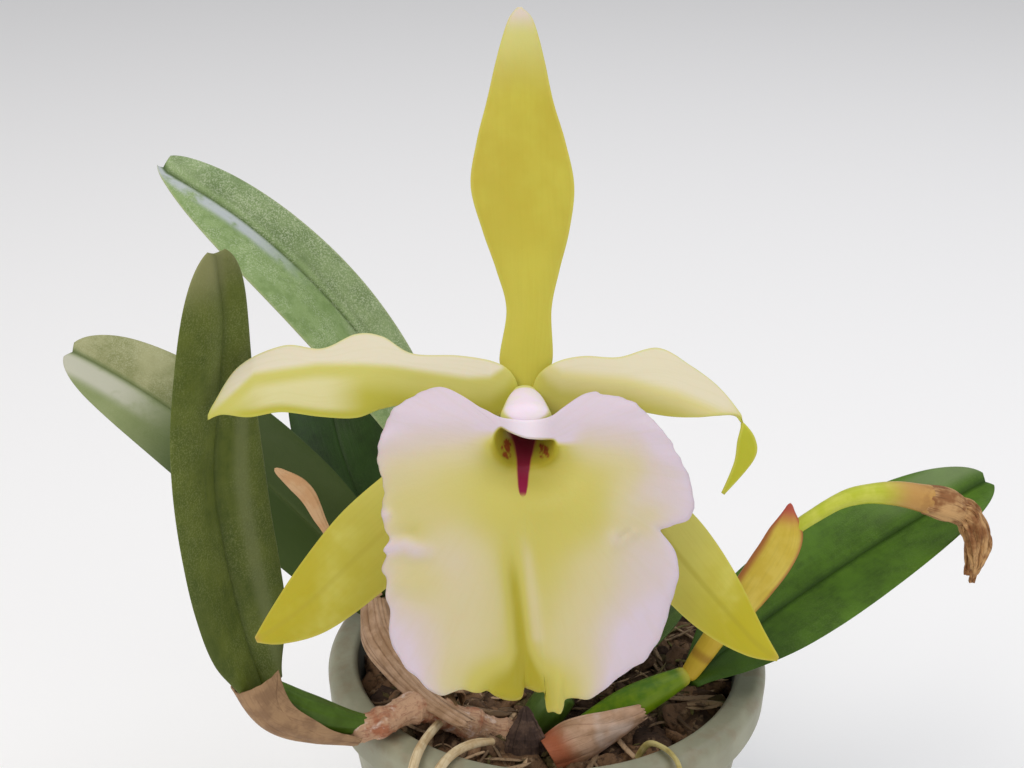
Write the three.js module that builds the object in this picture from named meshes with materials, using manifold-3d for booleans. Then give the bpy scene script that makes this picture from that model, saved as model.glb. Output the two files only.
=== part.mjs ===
// Potted orchid in flower: one large green and white bloom over stiff grey-green leaves, its short
// canes standing on a creeping rhizome in bark, in a round grey-green plastic nursery pot.
// Millimetres, +Z up. The origin is the centre of the flat underside of the pot, and the flower
// faces -Y, a little upward.

import * as THREE from "three";
import Module from "manifold-3d";

const wasm = await Module();
wasm.setup();

// Driving dimensions of the pot and its filling
const POT_HEIGHT = 92;
const RIM_RADIUS = 55;
const RIM_INNER_RADIUS = 47.5;
const RIM_BAND = 11;
const FOOT_RADIUS = 39;
const WALL = 2;
const FLOOR = 2.6;
const DRAIN_HOLES = 6;
const DRAIN_RADIUS = 4.5;
const DRAIN_CIRCLE = 24;
const BARK_LEVEL = 84;

// Driving dimensions of the plant
const GAP = 0.3;
const LEAF_THICKNESS = 1.5;
const PETAL_THICKNESS = 0.9;
const LIP_THICKNESS = 0.8;
const HUSK_THICKNESS = 0.7;
const FLOWER_CENTRE = [-6, -50.9, 186.3];
const FLOWER_LOOKS_UP = 24;
const SEED = 7;
const BARK_CHIPS = 28;
const GOLDEN_ANGLE = 2.39996;

const rad = THREE.MathUtils.degToRad;
const { clamp, lerp, smoothstep } = THREE.MathUtils;
const vec = (p) => new THREE.Vector3(...p);
const UP = [0, 0, 1];
const TO_VIEWER = [0, -1, 0];
const TO_RIGHT = [1, 0, 0];

// Smooth curve through a list of evenly spaced numbers, read at t from 0 to 1
function smooth(values, t) {
  const along = clamp(t, 0, 1) * (values.length - 1);
  const i = Math.min(Math.floor(along), values.length - 2);
  const f = along - i;
  const [b, c] = [values[i], values[i + 1]];
  const a = i > 0 ? values[i - 1] : b;
  const d = i + 2 < values.length ? values[i + 2] : c;
  const m0 = (c - a) / 2;
  const m1 = (d - b) / 2;
  return b + f * (m0 + f * (3 * (c - b) - 2 * m0 - m1 + f * (2 * (b - c) + m0 + m1)));
}

// Smooth curve through outline points [x, y], read at t from 0 to 1
function outline(points) {
  const xs = points.map((p) => p[0]);
  const ys = points.map((p) => p[1]);
  return (t) => [smooth(xs, t), smooth(ys, t)];
}

// Indexed geometry from lists of corners and triangles
function shell(points, triangles) {
  const geometry = new THREE.BufferGeometry();
  const numbers = points.flatMap((p) => [p.x, p.y, p.z]);
  geometry.setAttribute("position", new THREE.Float32BufferAttribute(numbers, 3));
  geometry.setIndex(triangles.flat());
  return geometry;
}

// Two triangles for the four corners a, b, c, d of a patch, seen counterclockwise
const patch = (a, b, c, d) => [[a, b, c], [a, c, d]];

// Thin curved sheet of even thickness. at(u, v) gives its middle surface: u runs along it from 0 to
// 1 and v across it from -1 to 1, or right round it when ring is true. Both faces are split into the
// same triangles. grow swells the sheet on every side, to make the room that a neighbour keeps clear.
function sheet({ at, rows, cols, thickness, ring = false, grow = 0 }) {
  const across = ring ? cols : cols + 1;
  const grid = [];
  for (let i = 0; i <= rows; i++) {
    const line = [];
    for (let j = 0; j < across; j++) {
      line.push(at(i / rows, ring ? j / cols : (2 * j) / cols - 1));
    }
    grid.push(line);
  }
  const column = (j) => (ring ? (j + across) % across : clamp(j, 0, across - 1));
  const row = (i) => clamp(i, 0, rows);
  const faces = [[], []];
  for (let i = 0; i <= rows; i++) {
    for (let j = 0; j < across; j++) {
      const along = grid[row(i + 1)][j].clone().sub(grid[row(i - 1)][j]);
      const aside = grid[i][column(j + 1)].clone().sub(grid[i][column(j - 1)]);
      const normal = aside.clone().cross(along).normalize();
      const middle = grid[i][j].clone();
      if (i === 0 || i === rows) {
        middle.addScaledVector(along.normalize(), i === 0 ? -grow : grow);
      }
      if (!ring && (j === 0 || j === across - 1)) {
        middle.addScaledVector(aside.normalize(), j === 0 ? -grow : grow);
      }
      const half = thickness / 2 + grow;
      faces[0].push(middle.clone().addScaledVector(normal, half));
      faces[1].push(middle.clone().addScaledVector(normal, -half));
    }
  }
  const count = faces[0].length;
  const front = (i, j) => i * across + column(j);
  const back = (i, j) => count + front(i, j);
  const triangles = [];
  const lastPatch = ring ? across : across - 1;
  for (let i = 0; i < rows; i++) {
    for (let j = 0; j < lastPatch; j++) {
      triangles.push(...patch(front(i, j), front(i, j + 1), front(i + 1, j + 1), front(i + 1, j)));
      triangles.push([back(i, j), back(i + 1, j + 1), back(i, j + 1)]);
      triangles.push([back(i, j), back(i + 1, j), back(i + 1, j + 1)]);
    }
  }
  for (let j = 0; j < lastPatch; j++) {
    triangles.push(...patch(front(0, j), back(0, j), back(0, j + 1), front(0, j + 1)));
    triangles.push(...patch(front(rows, j + 1), back(rows, j + 1), back(rows, j), front(rows, j)));
  }
  if (!ring) {
    const end = across - 1;
    for (let i = 0; i < rows; i++) {
      triangles.push(...patch(front(i + 1, 0), back(i + 1, 0), back(i, 0), front(i, 0)));
      triangles.push(...patch(front(i, end), back(i, end), back(i + 1, end), front(i + 1, end)));
    }
  }
  return shell([...faces[0], ...faces[1]], triangles);
}

// Directions along a route: the tangent, the side at right angles to it and to the facing, and the
// outward direction that lies closest to the facing
function frameAt(curve, t, facing) {
  const tangent = curve.getTangentAt(t);
  const side = tangent.clone().cross(facing).normalize();
  return { middle: curve.getPointAt(t), tangent, side, outward: side.clone().cross(tangent) };
}

// Round or flattened stem along a route of points. radii are its half widths along the side
// direction, and flat times that is its depth towards the facing. nodes are rings that swell it.
function stem({ route, radii, rows, sides, flat = 1, facing = UP, nodes = 0, swell = 0, grow = 0 }) {
  const curve = new THREE.CatmullRomCurve3(route.map(vec));
  const points = [];
  for (let i = 0; i <= rows; i++) {
    const t = i / rows;
    const { middle, tangent, side, outward } = frameAt(curve, t, vec(facing));
    if (i === 0 || i === rows) {
      middle.addScaledVector(tangent, i === 0 ? -grow : grow);
    }
    const ridge = nodes ? swell * Math.cos(Math.PI * nodes * t) ** 4 : 0;
    const radius = smooth(radii, t) * (1 + ridge);
    for (let j = 0; j < sides; j++) {
      const angle = (2 * Math.PI * j) / sides;
      const wide = radius * Math.cos(angle);
      const deep = radius * flat * Math.sin(angle);
      const size = 1 + grow / Math.hypot(wide, deep);
      const point = middle.clone().addScaledVector(side, -size * wide);
      points.push(point.addScaledVector(outward, size * deep));
    }
  }
  const triangles = [];
  const at = (i, j) => i * sides + (j % sides);
  for (let i = 0; i < rows; i++) {
    for (let j = 0; j < sides; j++) {
      triangles.push(...patch(at(i, j), at(i, j + 1), at(i + 1, j + 1), at(i + 1, j)));
    }
  }
  for (let j = 1; j < sides - 1; j++) {
    triangles.push([at(0, 0), at(0, j + 1), at(0, j)]);
    triangles.push([at(rows, 0), at(rows, j), at(rows, j + 1)]);
  }
  return shell(points, triangles);
}

// Closed solid of a geometry, moved by a matrix
function solid(geometry, matrix = new THREE.Matrix4()) {
  const moved = geometry.clone().applyMatrix4(matrix);
  return new wasm.Manifold(new wasm.Mesh({
    numProp: 3,
    vertProperties: Float32Array.from(moved.getAttribute("position").array),
    triVerts: Uint32Array.from(moved.getIndex().array),
  }));
}

// Geometry of a solid, keeping only its largest body
function largestBody(body) {
  const pieces = body.decompose();
  pieces.sort((a, b) => b.volume() - a.volume());
  const mesh = pieces[0].getMesh();
  const geometry = new THREE.BufferGeometry();
  geometry.setAttribute("position", new THREE.BufferAttribute(mesh.vertProperties, 3));
  geometry.setIndex(new THREE.BufferAttribute(mesh.triVerts, 1));
  return geometry;
}

// Colours and finishes
const finish = (color, roughness) => new THREE.MeshStandardMaterial({ color, roughness, metalness: 0 });
const FINISH = {
  pot: finish("#7d8272", 0.6),
  bark: finish("#4a3527", 0.95),
  leaf: finish("#4c6632", 0.5),
  cane: finish("#5f8a1c", 0.45),
  oldCane: finish("#8a6b4e", 0.8),
  husk: finish("#b08d6c", 0.8),
  rhizome: finish("#9a5c3a", 0.75),
  root: finish("#d2bd97", 0.8),
  sepal: finish("#b9b43a", 0.45),
  petal: finish("#cfcb86", 0.45),
  lip: finish("#ddd2d2", 0.45),
  column: finish("#e8dae4", 0.4),
  stalk: finish("#a3a83a", 0.5),
  spathe: finish("#b3a03c", 0.55),
  spent: finish("#a8794c", 0.85),
};

const plant = new THREE.Group();
const flower = new THREE.Group();
flower.position.set(...FLOWER_CENTRE);
flower.rotation.x = rad(90 - FLOWER_LOOKS_UP);
plant.add(flower);

// Named piece with the room that its neighbours leave round it
function place(name, material, build, settings, parent = plant) {
  const piece = new THREE.Mesh(build(settings), material);
  piece.name = name;
  piece.userData.room = build({ ...settings, grow: GAP });
  parent.add(piece);
  return piece;
}

// Cut away what would touch the neighbours
function fitTo(piece, ...neighbours) {
  plant.updateMatrixWorld(true);
  const inverse = piece.matrixWorld.clone().invert();
  let body = solid(piece.geometry);
  for (const neighbour of neighbours) {
    const seenFromPiece = inverse.clone().multiply(neighbour.matrixWorld);
    body = body.subtract(solid(neighbour.userData.room, seenFromPiece));
  }
  piece.geometry = largestBody(body);
}

// Pot: a lathe profile with a thick rolled rim band, then holes in the floor
function makePot() {
  const neck = POT_HEIGHT - RIM_BAND;
  const bodyRadius = RIM_INNER_RADIUS + WALL + 1;
  const profile = [
    [0, 0], [FOOT_RADIUS - 2, 0], [FOOT_RADIUS, 2], [bodyRadius, neck - 3], [RIM_RADIUS - 1.6, neck],
    [RIM_RADIUS - 0.4, neck + 1.4], [RIM_RADIUS, POT_HEIGHT - 2.2], [RIM_RADIUS - 1.8, POT_HEIGHT],
    [RIM_INNER_RADIUS + 1, POT_HEIGHT], [RIM_INNER_RADIUS, POT_HEIGHT - 1.2],
    [RIM_INNER_RADIUS - 0.8, neck], [FOOT_RADIUS - WALL, FLOOR], [0, FLOOR],
  ];
  const points = profile.map(([r, z]) => new THREE.Vector2(r, z));
  const lathe = new THREE.LatheGeometry(points, 36);
  lathe.rotateX(Math.PI / 2);
  let body = solid(weld(lathe));
  for (let i = 0; i < DRAIN_HOLES; i++) {
    const drill = new THREE.CylinderGeometry(DRAIN_RADIUS, DRAIN_RADIUS, 4 * FLOOR, 12);
    drill.rotateX(Math.PI / 2);
    const angle = (2 * Math.PI * i) / DRAIN_HOLES;
    drill.translate(DRAIN_CIRCLE * Math.cos(angle), DRAIN_CIRCLE * Math.sin(angle), 0);
    body = body.subtract(solid(weld(drill)));
  }
  const pot = new THREE.Mesh(largestBody(body), FINISH.pot);
  pot.name = "pot";
  plant.add(pot);
}

// Geometry with its shared corners merged, so that it is closed
function weld(geometry) {
  const source = geometry.getAttribute("position");
  const index = geometry.getIndex();
  const seen = new Map();
  const points = [];
  const triangles = [];
  const corner = (i) => {
    const p = new THREE.Vector3().fromBufferAttribute(source, i);
    const key = [p.x, p.y, p.z].map((value) => Math.round(value * 1e4)).join(" ");
    if (!seen.has(key)) {
      seen.set(key, points.length);
      points.push(p);
    }
    return seen.get(key);
  };
  for (let i = 0; i < index.count; i += 3) {
    const [a, b, c] = [0, 1, 2].map((k) => corner(index.getX(i + k)));
    if (a !== b && b !== c && c !== a) {
      triangles.push([a, b, c]);
    }
  }
  return shell(points, triangles);
}

// Bark filling: a low mound with chips of bark standing half out of it
function makeBark() {
  const random = seeded(SEED);
  const neck = POT_HEIGHT - RIM_BAND;
  const wall = (z) => lerp(FOOT_RADIUS - WALL, RIM_INNER_RADIUS - 0.8, (z - FLOOR) / (neck - FLOOR));
  const bottom = FLOOR + GAP;
  const edge = BARK_LEVEL - 3;
  const profile = [
    [0, bottom], [wall(bottom) - 2 * GAP, bottom], [wall(edge) - 3 * GAP, edge],
    [36, BARK_LEVEL - 0.6], [18, BARK_LEVEL + 0.6], [0, BARK_LEVEL + 1],
  ];
  const lathe = new THREE.LatheGeometry(profile.map(([r, z]) => new THREE.Vector2(r, z)), 24);
  lathe.rotateX(Math.PI / 2);
  let body = solid(weld(lathe));
  for (let i = 0; i < BARK_CHIPS; i++) {
    const reach = 40 * Math.sqrt((i + 0.5) / BARK_CHIPS);
    const angle = i * GOLDEN_ANGLE;
    const size = [lerp(7, 12, random()), lerp(5, 8, random()), lerp(2.5, 4, random())];
    const chip = new THREE.BoxGeometry(...size);
    chip.rotateX(lerp(-0.5, 0.5, random()));
    chip.rotateY(lerp(-0.6, 0.6, random()));
    chip.rotateZ(lerp(0, Math.PI, random()));
    const level = BARK_LEVEL + lerp(-0.6, 1.2, random());
    chip.translate(reach * Math.cos(angle), reach * Math.sin(angle), level);
    body = body.add(solid(weld(chip)));
  }
  const bark = new THREE.Mesh(largestBody(body), FINISH.bark);
  bark.name = "bark_bed";
  plant.add(bark);
  return bark;
}

// Repeatable random numbers from 0 to 1
function seeded(seed) {
  let state = seed;
  return () => {
    state = (state * 16807) % 2147483647;
    return state / 2147483647;
  };
}

// Leaf: a stiff blade folded along its midrib. From its base it sets off along the heading, measured
// from +X, and climbs at the rise; both change evenly towards the blunt tip. roll turns it about its
// own midrib, and fold lifts each half from flat, all in degrees.
const LEAF_HALF_WIDTHS = [0.34, 0.66, 0.88, 0.98, 1, 0.96, 0.88, 0.76, 0.62];
const LEAF_NOTCH = 0.9;
function leafSurface({ length, heading, rise, roll, width, fold, blunt = 14, shape = LEAF_HALF_WIDTHS }) {
  const steps = 48;
  const bearing = (t) => rad(lerp(0, heading[1] - heading[0], t));
  const climb = (t) => rad(lerp(rise[0], rise[1], t));
  const tangent = (t) => new THREE.Vector3(
    Math.cos(climb(t)) * Math.cos(bearing(t)),
    Math.cos(climb(t)) * Math.sin(bearing(t)),
    Math.sin(climb(t)),
  );
  const midrib = [new THREE.Vector3()];
  for (let i = 0; i < steps; i++) {
    midrib.push(midrib[i].clone().addScaledVector(tangent((i + 0.5) / steps), length / steps));
  }
  return (s, v) => {
    const u = 1 - (1 - s) ** 1.3;
    const i = Math.min(Math.floor(u * steps), steps - 1);
    const point = midrib[i].clone().lerp(midrib[i + 1], u * steps - i);
    const level = new THREE.Vector3(Math.sin(bearing(u)), -Math.cos(bearing(u)), 0);
    const upward = level.clone().cross(tangent(u));
    const turn = rad(lerp(roll[0], roll[1], u));
    const side = level.clone().multiplyScalar(Math.cos(turn)).addScaledVector(upward, Math.sin(turn));
    const lift = upward.multiplyScalar(Math.cos(turn)).addScaledVector(level, -Math.sin(turn));
    const reach = (width / 2) * smooth(shape, u) * Math.sqrt(1 - 0.93 * u ** blunt);
    const soft = Math.sqrt(v * v + 0.01) - 0.1;
    point.addScaledVector(tangent(u), -LEAF_NOTCH * u ** 40 * (1 - Math.abs(v)));
    point.addScaledVector(side, v * reach * Math.cos(rad(fold)));
    return point.addScaledVector(lift, soft * reach * Math.sin(rad(fold)));
  };
}

function makeLeaf({ name, base, ...form }) {
  const settings = { at: leafSurface(form), rows: 13, cols: 4, thickness: LEAF_THICKNESS };
  const leaf = place(name, FINISH.leaf, sheet, settings);
  leaf.position.set(...base);
  leaf.rotation.z = rad(form.heading[0]);
  return leaf;
}

// Petal or sepal between two edges, each an outline from the base to the tip. depth(u, v) sets it
// off the plane of the flower, towards the viewer.
function makeTepal({ name, material, first, second, depth, rows, cols }) {
  const one = outline(first);
  const two = outline(second);
  const at = (u, v) => {
    const [ax, ay] = one(u);
    const [bx, by] = two(u);
    const t = (v + 1) / 2;
    return new THREE.Vector3(lerp(ax, bx, t), lerp(ay, by, t), depth(u, v));
  };
  return place(name, material, sheet, { at, rows, cols, thickness: PETAL_THICKNESS }, flower);
}

// Lip: the big spreading petal, a trumpet under the column that flares into a ruffled blade. Its
// margin runs counterclockwise from the right, over both lobes and round the two folds at the foot.
const LIP_MARGIN = [
  [31.9, -24], [31.2, -17], [29.2, -13.4], [27, -9.4], [23.6, -5.6], [20.2, -2.6], [14.9, -1.2],
  [11.6, -1], [7.7, -3.6], [5, -5.5], [2.6, -6.6], [0, -6.9], [-2.7, -6.5], [-5.5, -5.5], [-9.4, -3.6],
  [-12.8, -1.3],
  [-17, 0.2], [-21.5, -1.6], [-25.6, -4.4], [-27.8, -9.8], [-28.4, -13.4], [-27.3, -18], [-27.4, -24.6],
  [-25.9, -28.8], [-27, -31], [-26.8, -37], [-25.9, -42.4], [-26.3, -47.4], [-24, -52], [-17, -58.3],
  [-12, -57.5], [-7, -57.8], [-3.5, -59.9], [-0.4, -58.6], [2, -58.2], [4, -60.4], [6.7, -61.8], [8, -59.2],
  [13.7, -58.5], [18, -54.6], [23.1, -51.5], [26.4, -46], [28, -40], [29.2, -35.4], [28, -30.6],
  [25.6, -27.3], [28, -26.2],
];
const THROAT = [0, -11.5];
const THROAT_HALF_WIDTH = 5.6;
const THROAT_RISE = 2.1;
const THROAT_DROP = 3.6;
const TUBE_END = [0, -6, -3];
const TUBE_RADIUS = 2.2;
const TUBE_SHARE = 0.2;

// Height of the open blade of the lip towards the viewer, x and y measured from the throat
function lipHeight(x, y) {
  const lobes = 4 * smoothstep(y, 3, 15) ** 1.5;
  const halves = 1.8 * Math.exp(-(((Math.abs(x) - 14) / 9) ** 2)) * smoothstep(-y, -4, 14);
  const groove = 1.6 * Math.exp(-((x / 3) ** 2)) * smoothstep(-y, 8, 22);
  const backward = 0.003 * Math.max(0, -y - 15) ** 2 + 0.003 * x * x;
  return 9.4 + halves - groove - lobes - backward;
}

// Surface of the lip: a narrow tube for the first share of its length, then the open blade
function lipSurface(u, v) {
  const count = LIP_MARGIN.length;
  const along = v * count;
  const i = Math.floor(along);
  const near = [-1, 0, 1, 2].map((k) => LIP_MARGIN[(i + k + count) % count]);
  const [mx, my] = outline(near)((1 + along - i) / 3);
  const [dx, dy] = [mx - THROAT[0], my - THROAT[1]];
  const angle = Math.atan2(dy, dx);
  const reach = Math.hypot(dx, dy);
  const tall = dy > 0 ? THROAT_RISE : THROAT_DROP;
  const mouth = 1 / Math.hypot(Math.cos(angle) / THROAT_HALF_WIDTH, Math.sin(angle) / tall);
  const below = smoothstep(-Math.sin(angle), -0.2, 1);
  const t = Math.max(0, (u - TUBE_SHARE) / (1 - TUBE_SHARE));
  const spread = lerp(mouth, reach, t ** lerp(1, 1.25, below));
  const [x, y] = [spread * Math.cos(angle), spread * Math.sin(angle)];
  const dip = 5 * below * Math.exp(-(((spread - mouth) / 5) ** 2));
  const ruffle = 0.7 * t ** 4 * below * Math.sin(9 * angle);
  const open = new THREE.Vector3(THROAT[0] + x, THROAT[1] + y, lipHeight(x, y) - dip + ruffle);
  if (u >= TUBE_SHARE) {
    return open;
  }
  const inside = new THREE.Vector3(TUBE_RADIUS * Math.cos(angle), TUBE_RADIUS * Math.sin(angle), 0);
  return inside.add(vec(TUBE_END)).lerp(open, u / TUBE_SHARE);
}

makePot();
const bark = makeBark();

// Rhizome and the canes that stand on it, each with its leaf
const rhizome = place("rhizome", FINISH.rhizome, stem, {
  route: [
    [-46, -41, 96.6], [-38, -36.5, 96], [-31, -31.5, 96.4], [-22, -28, 90.5], [-9, -27, 84], [5, -31, 83],
  ],
  radii: [3.1, 3.5, 3.5, 3.6, 4, 3.5],
  rows: 20,
  sides: 9,
  nodes: 7,
  swell: 0.12,
});
const CANES = {
  front: { route: [[-44.2, -40.2, 97], [-54, -43, 102.8], [-63.4, -44.4, 110]], radii: [3, 4.2, 3.6] },
  left: { route: [[-24, -29, 92], [-32, -13, 98.5], [-41.3, 1.7, 103.4]], radii: [3.4, 5, 3.8] },
  tall: {
    route: [[-20, 0, 78], [-23, 6, 100], [-26, 12.7, 117.3]],
    radii: [3.2, 6, 3.8],
    facing: TO_VIEWER,
  },
  short: { route: [[-29, 13, 78], [-33.5, 17.5, 90], [-37.8, 21.5, 97.5]], radii: [3.4, 5, 3.6] },
  main: { route: [[-5, -26.5, 83], [-1, -25, 90], [3.5, -22.7, 95.4]], radii: [3.2, 4.8, 4.4] },
  right: { route: [[5, -33.5, 88.5], [19, -28.7, 95.2], [33.4, -22.8, 99.8]], radii: [3.4, 4, 3.3] },
};
const GREEN_CANES = ["front", "main", "right"];
const cane = {};
for (const [key, form] of Object.entries(CANES)) {
  const colour = GREEN_CANES.includes(key) ? FINISH.cane : FINISH.oldCane;
  cane[key] = place(`cane_${key}`, colour, stem, { rows: 8, sides: 9, ...form });
  fitTo(cane[key], rhizome);
}

const LEAVES = {
  tall: {
    base: [-25.4, 12.8, 118], length: 118, width: 28.4, blunt: 8,
    heading: [195, 151], rise: [77, 30], roll: [21, 24], fold: 22,
  },
  front: {
    base: [-63.9, -44.5, 110.7], length: 103, width: 25.6,
    heading: [161, 153], rise: [74, 104], roll: [15, 15], fold: 12,
    shape: [0.5, 0.84, 1, 1, 0.98, 0.91, 0.8, 0.7, 0.62],
  },
  left: {
    base: [-41.8, 2.3, 103.8], length: 104, width: 29,
    heading: [156, 158], rise: [46, 17], roll: [45, 35], fold: 18,
  },
  short: {
    base: [-38, 21.7, 98.2], length: 69, width: 26,
    heading: [148, 89], rise: [51, 40], roll: [-11, -1], fold: 17,
  },
  main: {
    base: [4, -22.3, 96.2], length: 66, width: 25,
    heading: [39, 73], rise: [12, 2], roll: [-15, 35], fold: 18,
  },
  right: {
    base: [33.2, -23.4, 97.9], length: 96, width: 30.5,
    heading: [40, 16], rise: [14, 24], roll: [-16, -16], fold: 18,
  },
};
const leaf = {};
for (const [key, form] of Object.entries(LEAVES)) {
  leaf[key] = makeLeaf({ name: `leaf_${key}`, ...form });
  fitTo(leaf[key], cane[key]);
}

// Papery husk wrapped round part of a cane. Its two edges lie at angles from the upper side, each
// given for the start and for the end of the route.
function huskSurface({ route, radii, edges }) {
  const curve = new THREE.CatmullRomCurve3(route.map(vec));
  return (u, v) => {
    const { middle, side, outward } = frameAt(curve, u, vec(UP));
    const [one, two] = edges.map(([start, end]) => lerp(start, end, u));
    const angle = rad(lerp(one, two, (v + 1) / 2));
    const radius = smooth(radii, u);
    middle.addScaledVector(outward, radius * Math.cos(angle));
    return middle.addScaledVector(side, radius * Math.sin(angle));
  };
}
const HUSKS = {
  front: {
    route: [[-43.4, -40, 97.2], [-52, -42.4, 102], [-60, -43.8, 107.6], [-65, -44.6, 114]],
    radii: [4.4, 5.6, 5.5, 5],
    edges: [[40, 30], [262, 330]],
  },
  left: {
    route: [[-25, -26.5, 92.5], [-32, -13, 98.5], [-41, 1, 103]],
    radii: [6, 6, 5],
    edges: [[-150, -150], [110, 110]],
  },
  right: {
    route: [[0, -36, 86], [7, -33.2, 89.4], [14, -30.6, 92.6], [21, -28, 95.6]],
    radii: [4.6, 5.4, 5.2, 4.6],
    edges: [[-40, 50], [230, 200]],
  },
};
const husk = {};
for (const [key, form] of Object.entries(HUSKS)) {
  const settings = { at: huskSurface(form), rows: 7, cols: 7, thickness: HUSK_THICKNESS };
  husk[key] = place(`husk_${key}`, FINISH.husk, sheet, settings);
  fitTo(husk[key], cane[key], rhizome, leaf[key], cane.main);
}

// Dry bract left of the bloom, the two flattened spathes, and the stalks that rise from them
const bract = place("bract_dry", FINISH.husk, stem, {
  route: [[-42.5, -1.4, 106.5], [-50.5, 0, 118], [-55, 0, 127.8], [-58.8, 1, 134.4], [-65.5, 2.4, 140.8]],
  radii: [2.4, 1.5, 1.2, 1.7, 2.5, 0.6],
  rows: 10,
  sides: 6,
  flat: 0.3,
  facing: TO_VIEWER,
});
fitTo(bract, cane.left, leaf.left, husk.left);
const spathe = {
  main: place("spathe_main", FINISH.spathe, stem, {
    route: [[2.4, -23.8, 96], [2.6, -20, 104], [1.5, -16.5, 116], [-0.5, -15, 130]],
    radii: [2.2, 4.2, 4.4, 3.4, 1],
    rows: 9,
    sides: 8,
    flat: 0.42,
    facing: TO_VIEWER,
  }),
  right: place("spathe_right", FINISH.spathe, stem, {
    route: [[33.8, -22.6, 100.2], [38.6, -20.6, 107.6], [48, -17, 120], [54.6, -14, 130.5], [56, -12, 139.6]],
    radii: [3, 3.2, 3.5, 4.2, 4.8, 5, 4.1, 0.5],
    rows: 12,
    sides: 8,
    flat: 0.38,
    facing: TO_VIEWER,
  }),
};
fitTo(spathe.main, cane.main, leaf.main);
fitTo(spathe.right, cane.right, leaf.right);
const stalkMain = place("stalk_main", FINISH.stalk, stem, {
  route: [[-0.3, -15.2, 127], [-2, -17, 146], [-4.6, -26, 165], [-6, -37.5, 179.8], [-6, -44.9, 183.6]],
  radii: [1.7, 2, 2.2, 2.6, 3.4],
  rows: 12,
  sides: 8,
  facing: TO_RIGHT,
});
fitTo(stalkMain, spathe.main);
const stalkRight = place("stalk_right", FINISH.stalk, stem, {
  route: [[55.4, -13.4, 131], [61, -12.2, 135.6], [70.6, -7.9, 138.8], [82, -4.4, 138], [90, -3, 136]],
  radii: [1.5, 1.7, 2, 2.9, 3.4],
  rows: 10,
  sides: 8,
  facing: TO_VIEWER,
});
fitTo(stalkRight, spathe.right);

// Spent flower on the right stalk: a shrunken core with hanging withered petals grown to it
function makeSpentFlower() {
  let body = solid(stem({
    route: [[90.4, -3, 135.8], [97, -2.8, 133.3], [101, -2.8, 129]],
    radii: [3.3, 3.9, 2],
    rows: 4,
    sides: 7,
  }));
  for (let i = 0; i < 5; i++) {
    const spin = rad(72 * i + 20);
    const [dy, dz] = [2.6 * Math.cos(spin), 2.6 * Math.sin(spin)];
    const petal = {
      route: [
        [96, -2.8 + 0.5 * dy, 134 + 0.5 * dz], [101, -2.8 + dy, 131 + dz], [104, -3 + 1.4 * dy, 124 + dz],
        [104.5 - 0.4 * i, -3.4 + dy, 116 + dz],
      ],
      radii: [1.8, 3, 2.6, 0.6],
      rows: 5,
      sides: 5,
      flat: 0.4,
      facing: [0, Math.cos(spin), Math.sin(spin)],
    };
    body = body.add(solid(stem(petal)));
  }
  const spent = new THREE.Mesh(largestBody(body), FINISH.spent);
  spent.name = "spent_flower";
  plant.add(spent);
  fitTo(spent, stalkRight, leaf.right);
  return spent;
}
makeSpentFlower();

// Roots that climb out of the bark and over the rim, and one chip of bark that stands up
const ROOTS = {
  left: [
    [-25, -34, 86], [-27, -37.5, 92.6], [-29.2, -41, 94], [-31.6, -45.2, 93.9], [-32.8, -47.6, 91],
    [-33.2, -48.2, 84], [-33.6, -47.6, 76],
  ],
  front: [
    [-16, -39, 85], [-19, -41.5, 92.6], [-21, -43.4, 93.9], [-24.6, -49.2, 93.8], [-26.6, -51.4, 90.6],
    [-27.2, -51.6, 80],
  ],
  right: [
    [20, -38, 84], [24, -39.5, 92.5], [27.2, -42.2, 93.7], [29.6, -46.2, 93.5], [30.6, -48.4, 91],
    [31, -49, 84], [31.2, -48.4, 76],
  ],
};
const root = {};
for (const [key, route] of Object.entries(ROOTS)) {
  const settings = { route, radii: [1.1, 1.3, 1.4, 1.2, 0.6], rows: 14, sides: 6, facing: TO_RIGHT };
  root[key] = place(`root_${key}`, FINISH.root, stem, settings);
}
fitTo(root.left, rhizome);
const chip = place("bark_chip", FINISH.bark, stem, {
  route: [[-5.4, -35, 81], [-5.6, -35, 91], [-5.6, -34.6, 99]],
  radii: [4.2, 4.4, 0.8],
  rows: 3,
  sides: 5,
  flat: 0.45,
  facing: TO_VIEWER,
});
fitTo(chip, rhizome, husk.right);
fitTo(bark, rhizome, ...Object.values(cane), ...Object.values(husk), ...Object.values(root), chip);

// Flower: three narrow sepals and two wider petals behind the lip, and the column above its throat
const dorsalDepth = (u, v) => -5.6 - (1.2 + 1.4 * v * v) * Math.sin(Math.PI * u);
const sepalDepth = (u, v) => -5.6 - 3 * u + 1.6 * (1 - v * v) * Math.sin(Math.PI * u);
function petalDepth(u, upper) {
  const arch = Math.sin(Math.PI * u);
  return -4.4 + 2.5 * arch - 4.5 * smoothstep(upper, 0, 1.2) * arch ** 0.7;
}

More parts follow.
